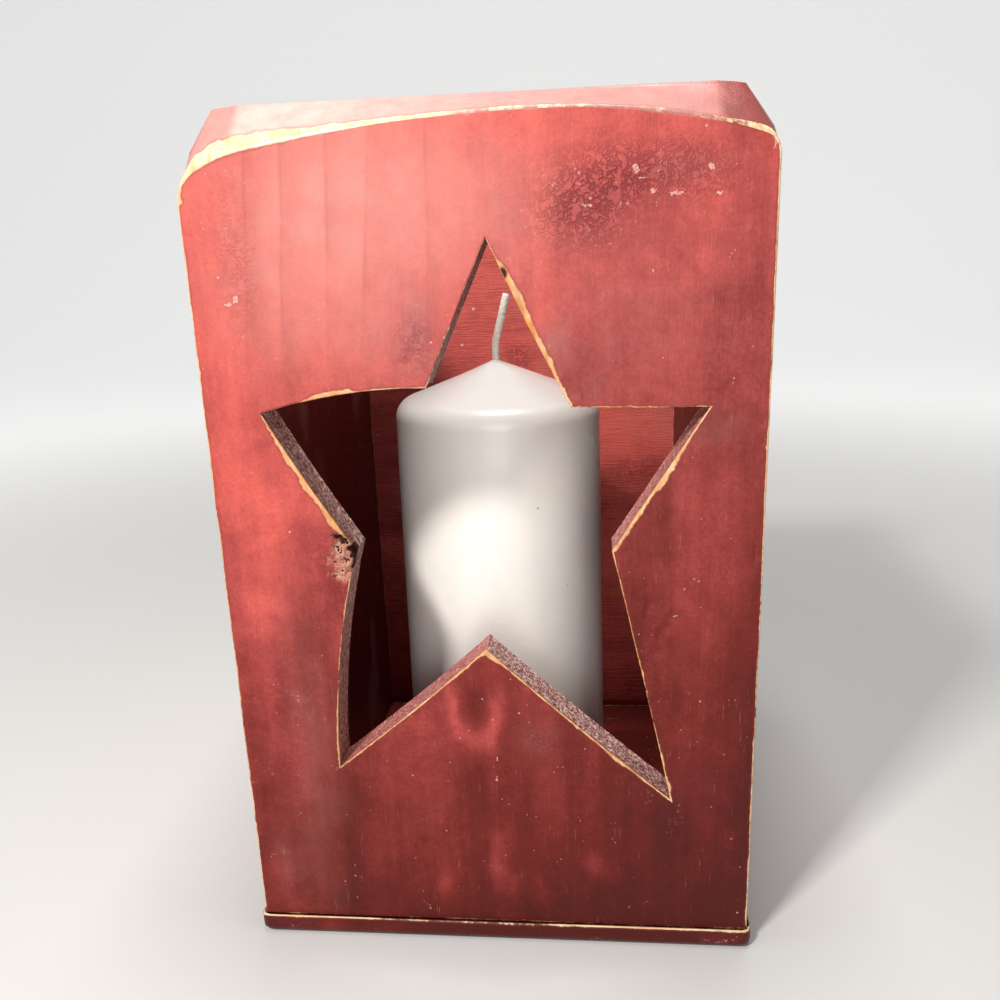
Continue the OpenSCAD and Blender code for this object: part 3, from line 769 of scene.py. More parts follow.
def build_plain_boards():
    """The back board and both side boards."""
    level, level_marks, upright = (24, 1.6, 1.6), (24, 3, 1.6), (1.6, 1.6, 24)
    low, high = node_box("back_board")
    lines = (crowded_lines(low[0], high[0], 2.6), crowded_lines(low[2], high[2], 3.4))
    pieces = [edged_board("back_panel", low, high, (0, 2, 1), PANEL_ARRISES, PANEL_CORNER,
                          lines, board_relief(101, level),
                          board_marks(101, 0.20, 0.5, level_marks, panel_painted_shadow), "back_board")]
    for seed, side in ((111, "left"), (121, "right")):
        node = side + "_side_board"
        low, high = node_box(node)
        lines = (crowded_lines(low[1], high[1], 2.4), crowded_lines(low[2], high[2], 3.2))
        pieces.append(edged_board(side + "_side", low, high, (1, 2, 0), SIDE_ARRISES,
                                  SIDE_CORNER, lines, board_relief(seed, upright),
                                  board_marks(seed, 0.40, 0.45, upright, side_inner_shade), node))
    return pieces


# The nails under the plank: the line they stand on, and how far each is from its middle
NAIL_LINE, NAIL_ALONG = 76.2, 36
NAIL_SPOTS = [(s * NAIL_LINE, a * NAIL_ALONG) for s in (-1, 1) for a in (-1, 1)]
NAIL_SPOTS += [(a * NAIL_ALONG, s * NAIL_LINE) for s in (-1, 1) for a in (-1, 1)]
NAIL_MOUTH_R = 2.0
NAIL_MOUTH_DEPTH = 0.62
# How far the bare line shows along the plank's front upper arris, by X
PLANK_WEAR = [(-84, 0.9), (-50, 0.9), (-38, 0.3), (-20, 0.1), (12, 0.1), (22, 0.8), (35, 1.2),
              (84, 1.3)]
# Thin glaze and wrinkled paint along the plank's front edge: x, z, rx, rz, amount
PLANK_THIN = [(-60, 4, 7, 4, 0.3), (-40, 3, 9, 3, 0.1)]
PLANK_WRINKLES = [(-70, 4, 5, 4, 0.7), (74, 4, 7, 3, 0.8)]


def plank_relief(p):
    """Planed swells, and a small round mouth under each nail head."""
    mouth = np.zeros(len(p))
    for x, y in NAIL_SPOTS:
        mouth = np.maximum(mouth, smooth(-np.hypot(p[:, 0] - x, p[:, 1] - y),
                                         -NAIL_MOUTH_R, -NAIL_MOUTH_R + 0.5))
    swell = 0.03 * (1 + noise(p, (60, 14, 14), 131))
    return np.where(p[:, 2] < 0.01, NAIL_MOUTH_DEPTH * mouth, swell)


def plank_marks(p, away):
    """Worn arrises: a clean bright line in front above, and its lip there, thin lines
    elsewhere. The lip is the strip of the top outside the front board."""
    front = p[:, 1] < -HALF_D + 1
    lip = p[:, 2] > BASE_T - 0.2
    shown = from_table(p[:, 0], PLANK_WEAR)
    width = np.where(front & (p[:, 2] > 4), 0.05 * shown, 0.05)
    width = np.where(front & lip, 1.2 * shown, width)
    width = width + 0.15 * rough(p, (7, 7, 7), 135)
    corner = np.hypot(np.abs(p[:, 0]) - 82, np.abs(p[:, 1]) - 82)
    width += 0.5 * smooth(-corner, -3, -0.5) * (p[:, 2] > 2)
    shade = 1.02 + 0.12 * rough(p, (50, 6, 6), 136)
    shade -= hump(p[:, 0], p[:, 2], PLANK_THIN)
    return {"bare": np.clip(width - away, -BAND_LIMIT, BAND_LIMIT), "glaze": shade,
            "stain": np.full(len(p), 0.12), "wrinkle": hump(p[:, 0], p[:, 2], PLANK_WRINKLES)}


def build_plank():
    """The base plank, rounded below and sharper above."""
    low, high = node_box("base_board")
    places = [s * q for q in (NAIL_ALONG, NAIL_LINE) for s in (-1, 1)]
    lines = crowded_lines(low[0], high[0], 2.6, places)
    return edged_board("plank", low, high, (0, 1, 2), PLANK_ARRISES, PLANK_CORNER,
                       (lines, lines), plank_relief, plank_marks, "base_board")


# ---------- the candle and its wick ----------

CANDLE_X, CANDLE_Y = -2.2, -8.5
CANDLE_H, CANDLE_FOOT_R, CANDLE_TOP_R = 182.5, 39.0, 38.0
SHOULDER_R, CONE_SLOPE, FOOT_ROUND = 8.0, math.radians(21), 2.0
WICK_R, WICK_DEEP, WICK_FOOT_L, WICK_END_L = 1.5, 6, 4, 16
WICK_BEND_R, WICK_LEAN = 14, math.radians(15)
CANDLE_COLUMNS = 220


def candle_profile():
    """Half the candle's section from the foot's middle, up the side, round the shoulder,
    up the cone and down the wick's bore, as radius and height."""
    shoulder_x = CANDLE_TOP_R - SHOULDER_R
    cone_x = shoulder_x + SHOULDER_R * math.sin(CONE_SLOPE)
    cone_z = CANDLE_H - cone_x * math.tan(CONE_SLOPE)
    shoulder_z = cone_z - SHOULDER_R * math.cos(CONE_SLOPE)
    foot_x = CANDLE_FOOT_R - FOOT_ROUND
    path = [(r, 0.0) for r in np.linspace(0.6, foot_x, 12)]
    path += [(foot_x + FOOT_ROUND * math.sin(a), FOOT_ROUND * (1 - math.cos(a)))
             for a in np.linspace(0, math.pi / 2, 7)[1:]]
    path += [(CANDLE_FOOT_R + (CANDLE_TOP_R - CANDLE_FOOT_R) * t,
              FOOT_ROUND + (shoulder_z - FOOT_ROUND) * t) for t in np.linspace(0, 1, 90)[1:]]
    path += [(shoulder_x + SHOULDER_R * math.cos(a), shoulder_z + SHOULDER_R * math.sin(a))
             for a in np.linspace(0, math.pi / 2 - CONE_SLOPE, 16)[1:]]
    rim = WICK_R + 0.9
    path += [(cone_x + (rim - cone_x) * t, cone_z + (cone_x - rim) * math.tan(CONE_SLOPE) * t)
             for t in np.linspace(0, 1, 28)[1:]]
    rim_z = path[-1][1]
    path += [(WICK_R + 0.45, rim_z + 0.28), (WICK_R + 0.12, rim_z + 0.62),
             (WICK_R + 0.03, rim_z + 0.3)]
    path += [(WICK_R + 0.03, z) for z in np.linspace(rim_z - 2, WICK_DEEP, 8)]
    path += [(0.5, WICK_DEEP)]
    return np.array(path)


def revolve(profile, columns):
    """A profile turned about Z: a grid of its radius times cos and sin of the angle."""
    angle = np.linspace(0, 2 * math.pi, columns, endpoint=False)
    r, z = profile[:, :1], profile[:, 1:]
    return np.stack([r * np.cos(angle), r * np.sin(angle), z + 0 * angle], axis=-1)


def capped(grid):
    """A tube's grid with its first and last row each closed by a fan to a middle point.
    The rows run from the foot upwards round an anticlockwise turn."""
    rows, columns = grid.shape[:2]
    points = np.concatenate([grid.reshape(-1, 3), [grid[0].mean(0)], [grid[-1].mean(0)]])
    foot, top = rows * columns, rows * columns + 1
    j = np.arange(columns)
    k = (j + 1) % columns
    base = (rows - 1) * columns
    foot_fan = [(foot, b, a) for a, b in zip(j.tolist(), k.tolist())]
    top_fan = [(top, base + a, base + b) for a, b in zip(j.tolist(), k.tolist())]
    return points, grid_quads(rows, columns, False, True).tolist() + foot_fan + top_fan


def build_candle():
    """The candle, its wall uneven by a quarter of a millimetre."""
    grid = revolve(candle_profile(), CANDLE_COLUMNS)
    radius = np.hypot(grid[..., 0], grid[..., 1])
    outer = smooth(radius, 6, 20) * smooth(grid[..., 2], 1, 6)
    sag = (0.16 * (1 + noise(grid, (26, 26, 60), 141)) + 0.05 * (1 + noise(grid, (6, 6, 22), 142))
           + 0.12 * smooth(np.abs(grid[..., 2] - 158), 9, 0)) * outer
    factor = 1 - sag / np.maximum(radius, 1)
    grid[..., 0] *= factor
    grid[..., 1] *= factor
    cone = smooth(grid[..., 2], 166, 172) * smooth(radius, 3, 8)
    grid[..., 2] -= cone * 0.25 * (1 + noise(grid, (14, 14, 14), 143))
    points, faces = capped(grid)
    points += np.array((CANDLE_X, CANDLE_Y, BASE_T))
    return make_piece("pillar_candle", points, faces, "candle", "candle")


WICK_COLUMNS = 36
BRAID_STRANDS = 8
BRAID_TURN_MM = 9.0
WICK_RING_AT = 193.0


def wick_line():
    """The wick's middle line: straight up, round an arc to the right and on at its lean.
    Gives places, leans and lengths."""
    bend_z = CANDLE_H + WICK_FOOT_L
    low = np.linspace(WICK_DEEP, CANDLE_H - 6, 12)
    high = np.linspace(CANDLE_H - 5.7, bend_z, 36)
    lean = np.linspace(0, WICK_LEAN, 16)[1:]
    end = np.linspace(0, WICK_END_L, 64)[1:]
    x = np.concatenate([np.zeros(len(low) + len(high)), WICK_BEND_R * (1 - np.cos(lean)),
                        WICK_BEND_R * (1 - math.cos(WICK_LEAN)) + end * math.sin(WICK_LEAN)])
    z = np.concatenate([low, high, bend_z + WICK_BEND_R * np.sin(lean),
                        bend_z + WICK_BEND_R * math.sin(WICK_LEAN) + end * math.cos(WICK_LEAN)])
    turn = np.concatenate([np.zeros(len(low) + len(high)), lean, np.full(len(end), WICK_LEAN)])
    length = np.append(0, np.cumsum(np.hypot(np.diff(x), np.diff(z))))
    return x, z, turn, length


def build_wick():
    """A round braid along the middle line. Its radius dips where two sets of strands
    that wind opposite ways meet: the larger of two cosines of angle plus or minus turn."""
    x, z, turn, length = wick_line()
    angle = np.linspace(0, 2 * math.pi, WICK_COLUMNS, endpoint=False)
    wind = (2 * math.pi * length / BRAID_TURN_MM)[:, None]
    strands = BRAID_STRANDS / 2
    rise = np.maximum(np.cos(strands * (angle + wind)), np.cos(strands * (angle - wind)))
    radius = WICK_R - 0.05 - 0.14 * (1 - rise) / 2
    at = np.stack([np.cos(angle) * np.ones_like(wind) * 3, np.sin(angle) * np.ones_like(wind) * 3,
                   length[:, None] * np.ones_like(angle)], axis=-1)
    radius = radius - 0.06 * (1 + noise(at, (2, 2, 3), 151))
    end = smooth(length, length[-1] - 1.0, length[-1])[:, None]
    radius = radius * (1 - 0.16 * end)
    out_x, out_y = radius * np.cos(angle), radius * np.sin(angle)
    cos_turn, sin_turn = np.cos(turn)[:, None], np.sin(turn)[:, None]
    grid = np.stack([x[:, None] + out_x * cos_turn, out_y * np.ones_like(cos_turn),
                     z[:, None] - out_x * sin_turn], axis=-1)
    points, faces = capped(grid)
    points += np.array((CANDLE_X, CANDLE_Y, BASE_T))
    share = np.repeat(length, WICK_COLUMNS)
    marks = {"along": np.concatenate([share, [0, length[-1]]]) * MM,
             "valley": np.concatenate([((1 - rise) / 2).ravel(), [0, 0]])}
    return make_piece("braided_wick", points, faces, "candle", "wick", marks)


star_front = build_front_board()
boards = build_plain_boards()
plank = build_plank()
candle = build_candle()
wick = build_wick()

# ---------- materials: a small set of helpers for node trees ----------


class Nodes:
    """A node tree with short calls for the nodes that the finishes use."""

    def __init__(self, tree):
        self.tree = tree

    def add(self, kind, inputs=None, **settings):
        """A new node with its settings and then its inputs."""
        made = self.tree.nodes.new(kind)
        for key, value in settings.items():
            setattr(made, key, value)
        return self.fill(made, inputs or {})

    def fill(self, node, inputs):
        """Links or sets a node's inputs, each by its name or number."""
        for key, value in inputs.items():
            self.put(node.inputs[key], value)
        return node

    def put(self, socket, value):
        """Links a socket to another, or sets it to a constant."""
        if isinstance(value, bpy.types.NodeSocket):
            self.tree.links.new(value, socket)
        else:
            socket.default_value = value

    def group(self, tree, inputs):
        """An effect's node group in this tree. Gives its outputs."""
        return self.add("ShaderNodeGroup", inputs, node_tree=tree).outputs

    def math(self, operation, *values, clamp=False):
        return self.add("ShaderNodeMath", dict(enumerate(values)), operation=operation,
                        use_clamp=clamp).outputs[0]

    def vector(self, operation, *values):
        made = self.add("ShaderNodeVectorMath", dict(enumerate(values)), operation=operation)
        return made.outputs["Value" if operation == "LENGTH" else "Vector"]

    def step(self, value, low, high, to_low=0.0, to_high=1.0):
        """A smooth step from to_low at low to to_high at high."""
        return self.add("ShaderNodeMapRange",
                        {"Value": value, "From Min": low, "From Max": high,
                         "To Min": to_low, "To Max": to_high},
                        interpolation_type="SMOOTHSTEP").outputs["Result"]

    def mix(self, share, a, b):
        """Colour a, with a share of colour b over it."""
        return self.add("ShaderNodeMix", {"Factor": share, 6: a, 7: b},
                        data_type="RGBA").outputs[2]

    def stretch(self, vector, scale, shift=(0, 0, 0)):
        """A place scaled and shifted, as for a pattern along the grain."""
        return self.add("ShaderNodeMapping", {"Vector": vector, "Scale": scale,
                                              "Location": shift}).outputs[0]

    def noise(self, vector, scale, detail=3.0, roughness=0.55, distortion=0.0, output="Fac"):
        return self.add("ShaderNodeTexNoise",
                        {"Vector": vector, "Scale": scale, "Detail": detail,
                         "Roughness": roughness, "Distortion": distortion}).outputs[output]

    def cells(self, vector, scale):
        """Distance to the middle of the nearest cell of a Voronoi pattern."""
        return self.add("ShaderNodeTexVoronoi", {"Vector": vector, "Scale": scale,
                                                 "Randomness": 1.0}).outputs["Distance"]

    def ramp(self, value, stops):
        """A colour from (place, colour) stops."""
        made = self.add("ShaderNodeValToRGB", {"Fac": value})
        ramp = made.color_ramp
        while len(ramp.elements) < len(stops):
            ramp.elements.new(0.5)
        for element, (place, colour) in zip(ramp.elements, stops):
            element.position, element.color = place, (*colour, 1)
        return made.outputs[0]

    def mark(self, name):
        """A value that the piece carries at each point, or 0 where it carries none."""
        return self.add("ShaderNodeAttribute", attribute_name=name).outputs["Fac"]

    def bump(self, strength, distance, height):
        return self.add("ShaderNodeBump", {"Strength": strength, "Distance": distance,
                                           "Height": height}).outputs[0]


VALUE, COLOUR, VECTOR = "NodeSocketFloat", "NodeSocketColor", "NodeSocketVector"


def effect(name, inputs, outputs, build):
    """A node group: a place on the piece and the named inputs as (name, kind, default),
    named outputs as (name, kind), and a function that takes the tree and the inputs and
    gives the outputs' values."""
    tree = bpy.data.node_groups.new(name, "ShaderNodeTree")
    for key, kind, default in [("Vector", VECTOR, None)] + inputs:
        socket = tree.interface.new_socket(key, in_out="INPUT", socket_type=kind)
        if default is not None:
            socket.default_value = default
    for key, kind in outputs:
        tree.interface.new_socket(key, in_out="OUTPUT", socket_type=kind)
    nodes = Nodes(tree)
    given = nodes.add("NodeGroupInput").outputs
    end = nodes.add("NodeGroupOutput")
    nodes.fill(end, build(nodes, given))
    return tree


# The paint's colour by how thick the dark glaze lies on it
PAINT_COLOURS = [(0.0, (0.76, 0.150, 0.115)), (0.2, (0.58, 0.098, 0.080)),
                 (0.4, (0.37, 0.056, 0.051)), (0.6, (0.220, 0.027, 0.023)),
                 (0.8, (0.130, 0.012, 0.009)), (1.0, (0.072, 0.007, 0.005))]


def paint_coat(n, g):
    """Old red paint under a dark glaze: the glaze's thickness picks the colour, and brush
    streaks along the grain, clouds, mottling and fine flecks move it up and down."""
    grain = n.stretch(g["Vector"], g["Grain"])
    streak = n.noise(grain, 300.0, 4.0, 0.6)
    broad = n.noise(grain, 75.0, 3.0, 0.5, 0.4)
    cloud = n.noise(g["Vector"], 42.0, 4.0, 0.55, 0.6)
    mottle = n.noise(g["Vector"], 190.0, 4.0, 0.65, 0.4)
    fleck = n.noise(g["Vector"], 1100.0, 2.0, 0.5)
    amount = g["Glaze"]
    for part, weight in ((streak, 0.17), (broad, 0.20), (cloud, 0.26), (mottle, 0.26),
                         (fleck, 0.20)):
        amount = n.math("MULTIPLY_ADD", n.math("SUBTRACT", part, 0.5), weight, amount)
    height = n.math("ADD", n.math("MULTIPLY", streak, 0.5), n.math("MULTIPLY", mottle, 0.5))
    gloss = n.math("MULTIPLY_ADD", n.math("SUBTRACT", mottle, 0.5), 0.35, 0.40)
    return {"Color": n.ramp(amount, PAINT_COLOURS), "Height": height, "Roughness": gloss}


PALE_WOOD, WOOD_LINE = (0.80, 0.62, 0.41, 1), (0.70, 0.44, 0.22, 1)
AMBER_WOOD, AMBER_LINE = (0.74, 0.29, 0.070, 1), (0.50, 0.16, 0.040, 1)


def bare_pine(n, g):
    """Rubbed pine: pale wood with darker growth lines along the grain, and amber stain
    where the varnish soaked in."""
    grain = n.stretch(g["Vector"], g["Grain"])
    line = n.step(n.noise(grain, 420.0, 3.0, 0.6, 0.3), 0.35, 0.7)
    stain = n.math("SUBTRACT", n.noise(g["Vector"], 240.0, 3.0, 0.6), 0.5)
    share = n.math("ADD", g["Stain"], n.math("MULTIPLY", stain, 1.1), clamp=True)
    return {"Color": n.mix(share, n.mix(line, PALE_WOOD, WOOD_LINE),
                           n.mix(line, AMBER_WOOD, AMBER_LINE))}


def ragged_edge(n, g):
    """Turns the depth inside a bare band, in millimetres, into a ragged mask and a dark
    line of glaze along its rim."""
    depth = g["Band"]
    for scale, detail in ((700.0, 4.0), (190.0, 2.0)):
        wobble = n.math("SUBTRACT", n.noise(g["Vector"], scale, detail, 0.6), 0.5)
        depth = n.math("MULTIPLY_ADD", wobble, g["Raggedness"], depth)
    mask = n.step(depth, -0.12, 0.38)
    rim = n.math("MULTIPLY", n.step(depth, -0.9, -0.1), n.math("SUBTRACT", 1.0, mask))
    return {"Bare": mask, "Rim": rim}


def crackle(n, g):
    """Wrinkled paint: squiggles where a warped noise crosses its middle value, broken up
    by a wider one, and pale specks, which are the small cells of a Voronoi pattern."""
    warped = n.noise(g["Vector"], 620.0, 1.0, 0.5, 0.6)
    line = n.step(n.math("ABSOLUTE", n.math("SUBTRACT", warped, 0.5)), 0.13, 0.035)
    broken = n.step(n.noise(g["Vector"], 340.0, 2.0, 0.5), 0.36, 0.47)
    lines = n.math("MULTIPLY", n.math("MULTIPLY", line, broken), g["Amount"])
    chance = n.step(n.noise(g["Vector"], 130.0, 2.0, 0.5), 0.60, 0.68)
    speck = n.math("MULTIPLY", n.step(n.cells(g["Vector"], 620.0), 0.34, 0.18), chance)
    return {"Lines": lines, "Specks": n.math("MULTIPLY", speck, g["Amount"])}


def pores(n, g):
    """Small scattered pits and dust: cells of a Voronoi pattern that a noise lets through."""
    chance = n.step(n.noise(g["Vector"], n.math("MULTIPLY", g["Scale"], 0.31), 2.0, 0.5),
                    g["Rarity"], n.math("ADD", g["Rarity"], 0.05))
    spot = n.step(n.cells(g["Vector"], g["Scale"]), 0.22, 0.08)
    return {"Mask": n.math("MULTIPLY", spot, chance)}


def chip(n, g):
    """A spot where the paint is knocked off: one inside an oval on the face, measured as
    the length of (place - middle) over its half sizes."""
    away = n.vector("SUBTRACT", g["Vector"], g["Middle"])
    reach = n.vector("LENGTH", n.vector("DIVIDE", away, g["Half size"]))
    return {"Mask": n.step(reach, 1.15, 0.75)}


def growth_line(n, g):
    """A growth ring's dark line, at a place across the grain that a noise bends, with a
    soft shade on one side. It leans about the height 254 mm and fades out below 200 mm."""
    x = n.add("ShaderNodeSeparateXYZ", {0: g["Vector"]}).outputs
    bend = n.noise(n.stretch(g["Vector"], (1, 1, 0.25)), 45.0, 3.0, 0.5)
    lean = n.math("MULTIPLY", n.math("SUBTRACT", x[2], 0.254), g["Lean"])
    away = n.math("SUBTRACT", n.math("SUBTRACT", x[0], lean), g["Place"])
    away = n.math("MULTIPLY_ADD", n.math("SUBTRACT", bend, 0.5), 0.004, away)
    line = n.step(n.math("ABSOLUTE", away), 0.0009, 0.0001)
    shade = n.math("MULTIPLY", n.step(away, 0.009, 0.0), n.step(away, -0.0004, 0.0004))
    faint = n.step(n.noise(g["Vector"], 90.0, 2.0, 0.5), 0.3, 0.6, 0.35, 1.0)
    both = n.math("MULTIPLY_ADD", shade, 0.45, n.math("MULTIPLY", line, 0.5))
    both = n.math("MULTIPLY", both, faint)
    return {"Mask": n.math("MULTIPLY", both, n.step(x[2], 0.185, 0.215))}


UPRIGHT_GRAIN, LEVEL_GRAIN = (1, 1, 0.07), (0.07, 1, 1)
GRAIN_INPUT = ("Grain", VECTOR, UPRIGHT_GRAIN)
PAINT = effect("Paint coat", [GRAIN_INPUT, ("Glaze", VALUE, 0.4)],
               [("Color", COLOUR), ("Height", VALUE), ("Roughness", VALUE)], paint_coat)
PINE = effect("Bare pine", [GRAIN_INPUT, ("Stain", VALUE, 0.4)], [("Color", COLOUR)], bare_pine)
RAGGED = effect("Ragged edge", [("Band", VALUE, 0.0), ("Raggedness", VALUE, 1.0)],
                [("Bare", VALUE), ("Rim", VALUE)], ragged_edge)
CRACKLE = effect("Crackle", [("Amount", VALUE, 0.0)],
                 [("Lines", VALUE), ("Specks", VALUE)], crackle)
PORES = effect("Pores", [("Scale", VALUE, 400.0), ("Rarity", VALUE, 0.6)],
               [("Mask", VALUE)], pores)
CHIP = effect("Chip", [("Middle", VECTOR, None), ("Half size", VECTOR, None)],
              [("Mask", VALUE)], chip)
GROWTH = effect("Growth line", [("Place", VALUE, 0.0), ("Lean", VALUE, 0.0)],
                [("Mask", VALUE)], growth_line)

# Pale chips in the front face and on the back board's inner face: x, z, half width, half height
# The first six, in the wrinkled paint, are painted glints: pale highlights off the wrinkles, placed
# as chips
FRONT_CHIPS = [
    (44.7, 246.3, 1.0, 1.1), (49.1, 240.8, 0.7, 0.9), (55.4, 239.9, 2.0, 0.55),
    (64.3, 246.2, 0.8, 0.8), (46.6, 244.0, 1.0, 0.35), (66.6, 239.6, 0.5, 0.6),
    (-71.0, 214.6, 1.2, 0.6), (-68.8, 216.0, 0.5, 1.3), (1.2, 68.9, 0.22, 0.9),
    (0.8, 62.0, 0.16, 0.9), (77.2, 256.0, 2.2, 0.6), (80.6, 251.6, 0.6, 1.8),
    (71.6, 257.2, 1.8, 0.4), (57.0, 118.8, 0.9, 0.3), (-45.8, 151.0, 0.3, 2.0)]
BACK_CHIPS = [(-19.8, 203.9, 0.9, 0.8), (-25.5, 188.0, 0.5, 0.6)]
# How deep a chip's oval reaches to each side of the face
CHIP_DEEP = 1.2
# Growth lines at the upper left: place across the board at height 254, and lean
GROWTH_LINES = [(-61.9, 0.092), (-51.7, 0.083), (-38.7, 0.086), (-27.6, 0.105), (-12.0, 0.045)]
# The colours that lie over the coat, in the order in which they are laid
SHEEN_PINK = (0.62, 0.265, 0.235, 1)
BLOOM_GREY = (0.33, 0.165, 0.155, 1)
GROWTH_DARK = (0.36, 0.070, 0.060, 1)
WRINKLE_SHADE = (0.24, 0.030, 0.032, 1)
CRACK_DARK = (0.15, 0.014, 0.018, 1)
GLARE_PALE = (0.58, 0.42, 0.365, 1)
SCUFFED = (0.55, 0.24, 0.20, 1)
CHIP_AND_GLINT_PALE = (0.74, 0.40, 0.34, 1)
GLAZE_RIM = (0.15, 0.035, 0.02, 1)
PIT_SHADE_BLACK = (0.040, 0.009, 0.007, 1)
SAWN_COLOURS = [(0.37, (0.060, 0.018, 0.022)), (0.44, (0.22, 0.080, 0.078)),
                (0.50, (0.42, 0.205, 0.185)), (0.57, (0.84, 0.66, 0.57))]
CRUMB_COLOURS = [(0.20, (0.012, 0.004, 0.003)), (0.28, (0.12, 0.034, 0.022)),
                 (0.36, (0.66, 0.38, 0.26)), (0.46, (0.62, 0.30, 0.21)),
                 (0.60, (0.40, 0.11, 0.085)), (0.80, (0.62, 0.30, 0.22))]
BOARD_MARKS = ("bare", "glaze", "wrinkle", "bloom", "painted_sheen", "sawn", "broken", "pit_shade",
               "bevel_glare", "stain")


def new_material(name):
    """An empty material with its shader. Gives also a place on the piece, in metres."""
    material = bpy.data.materials.new(name)
    material.use_nodes = True
    material.node_tree.nodes.clear()
    n = Nodes(material.node_tree)
    shader = n.add("ShaderNodeBsdfPrincipled")
    n.add("ShaderNodeOutputMaterial", {"Surface": shader.outputs[0]})
    return material, n, shader, n.add("ShaderNodeTexCoord").outputs["Object"]


def chip_mask(n, where, x, y, z, half_size):
    """A chip's mask from its middle and half sizes in millimetres."""
    return n.group(CHIP, {"Vector": where, "Middle": (x * MM, y * MM, z * MM),
                          "Half size": tuple(h * MM for h in half_size)})["Mask"]


def painted_board(name, grain, stain, chips=(), chip_y=0.0, lines=(), lift=0.3,
                  coat_weight=None):
    """Worn red paint: the coat, a ragged bare band at the arrises, crackle, chips, growth
    lines, sawn cut faces and broken wood, and painted light: a pink sheen, glare on the
    bevel, glints and shade in pits. Most of them come from a mark on the piece."""
    material, n, shader, where = new_material(name)
    marks = {mark: n.mark(mark) for mark in BOARD_MARKS}
    coat = n.group(PAINT, {"Vector": where, "Grain": grain, "Glaze": marks["glaze"]})
    edge = n.group(RAGGED, {"Vector": where, "Band": marks["bare"], "Raggedness": 1.1})
    cracks = n.group(CRACKLE, {"Vector": where, "Amount": marks["wrinkle"]})
    fine = n.group(PORES, {"Vector": where, "Scale": 700.0, "Rarity": 0.63})
    moved = n.stretch(where, (1, 1, 1), (0.13, 0.07, 0.11))
    dust = n.group(PORES, {"Vector": moved, "Scale": 430.0, "Rarity": 0.655})
    wood = n.group(PINE, {"Vector": where, "Grain": grain,
                          "Stain": n.math("ADD", marks["stain"], stain)})
    scuff = n.noise(n.stretch(where, grain), 1500.0, 3.0, 0.7)
    coarse = n.noise(where, 620.0, 5.0, 0.75)
    patchy = n.noise(where, 130.0, 4.0, 0.7)
    grit = n.noise(where, 1150.0, 3.0, 0.7)
    spread = n.vector("SUBTRACT", n.noise(where, 900.0, 2.0, 0.5, output="Color"), (0.5, 0.5, 0.5))
    bent = n.vector("MULTIPLY_ADD", spread, (0.0022, 0.0, 0.0022), where)

    def patches(mark, low, high, to_low, to_high):
        """A mark or mask times a step of the patchy noise."""
        return n.math("MULTIPLY", mark, n.step(patchy, low, high, to_low, to_high))

    knocked = n.math("MAXIMUM", n.math("MULTIPLY", fine["Mask"], 0.8), cracks["Specks"])
    knocked = n.math("MAXIMUM", n.math("MULTIPLY", dust["Mask"], 0.75), knocked)
    for x, z, half_w, half_h in chips:
        spot = chip_mask(n, bent, x, chip_y, z, (half_w, CHIP_DEEP, half_h))
        knocked = n.math("MAXIMUM", knocked, spot)
    # Crack lines grow fainter under the painted sheen
    squiggle = n.math("MULTIPLY_ADD", marks["painted_sheen"], -0.6, 0.78)
    sawn = n.math("MULTIPLY_ADD", coarse, 0.4, n.math("MULTIPLY", grit, 0.6))
    lump = n.math("MULTIPLY_ADD", n.math("SUBTRACT", coarse, 0.5), 1.1, n.cells(bent, 560.0))

    # The first layer is a painted highlight: the lamp's pink sheen at the upper left
    layers = [(patches(marks["painted_sheen"], 0.25, 0.75, 0.55, 0.85), SHEEN_PINK),
              (patches(marks["bloom"], 0.3, 0.7, 0.15, 0.6), BLOOM_GREY)]
    for place, lean in lines:
        line = n.group(GROWTH, {"Vector": where, "Place": place * MM, "Lean": lean})
        layers.append((n.math("MULTIPLY", line["Mask"], 0.40), GROWTH_DARK))
    layers += [(n.math("MULTIPLY", marks["wrinkle"], 0.18), WRINKLE_SHADE),
               (n.math("MULTIPLY", cracks["Lines"], squiggle), CRACK_DARK),
               # Pale painted highlight on the bevel, for the lamp's glare
               (patches(marks["bevel_glare"], 0.2, 0.8, 0.62, 1.0), GLARE_PALE),
               (patches(n.step(scuff, 0.60, 0.72), 0.45, 0.75, 0.0, 0.4), SCUFFED),
               # Pale chips, pores and specks, and painted glints in the wrinkled paint
               (n.math("MULTIPLY", knocked, n.step(coarse, 0.3, 0.6, 0.35, 0.95)), CHIP_AND_GLINT_PALE),
               (marks["sawn"], n.ramp(sawn, SAWN_COLOURS)),
               (n.math("MULTIPLY", edge["Rim"], 0.35), GLAZE_RIM),
               (patches(edge["Bare"], 0.25, 0.5, 0.55, 1.0), wood["Color"]),
               (marks["broken"], n.ramp(lump, CRUMB_COLOURS)),
               # Painted shade, near black, in pits and knot holes
               (n.step(marks["pit_shade"], 0.25, 0.7), PIT_SHADE_BLACK)]
    colour = coat["Color"]
    for share, over in layers:
        colour = n.mix(share, colour, over)

    gloss = n.math("MULTIPLY_ADD", edge["Bare"], 0.14, coat["Roughness"])
    gloss = n.math("MULTIPLY_ADD", n.math("MAXIMUM", marks["sawn"], marks["broken"]), 0.3, gloss,
                   clamp=True)
    height = n.math("MULTIPLY", coat["Height"], lift)
    for part, rise in ((cracks["Lines"], -0.7), (knocked, -0.35), (edge["Bare"], -0.10),
                       (n.math("MULTIPLY", n.math("ADD", grit, coarse), marks["sawn"]), 1.1),
                       (n.math("MULTIPLY", lump, marks["broken"]), 2.6), (scuff, lift)):
        height = n.math("MULTIPLY_ADD", part, rise, height)
    if coat_weight is None:
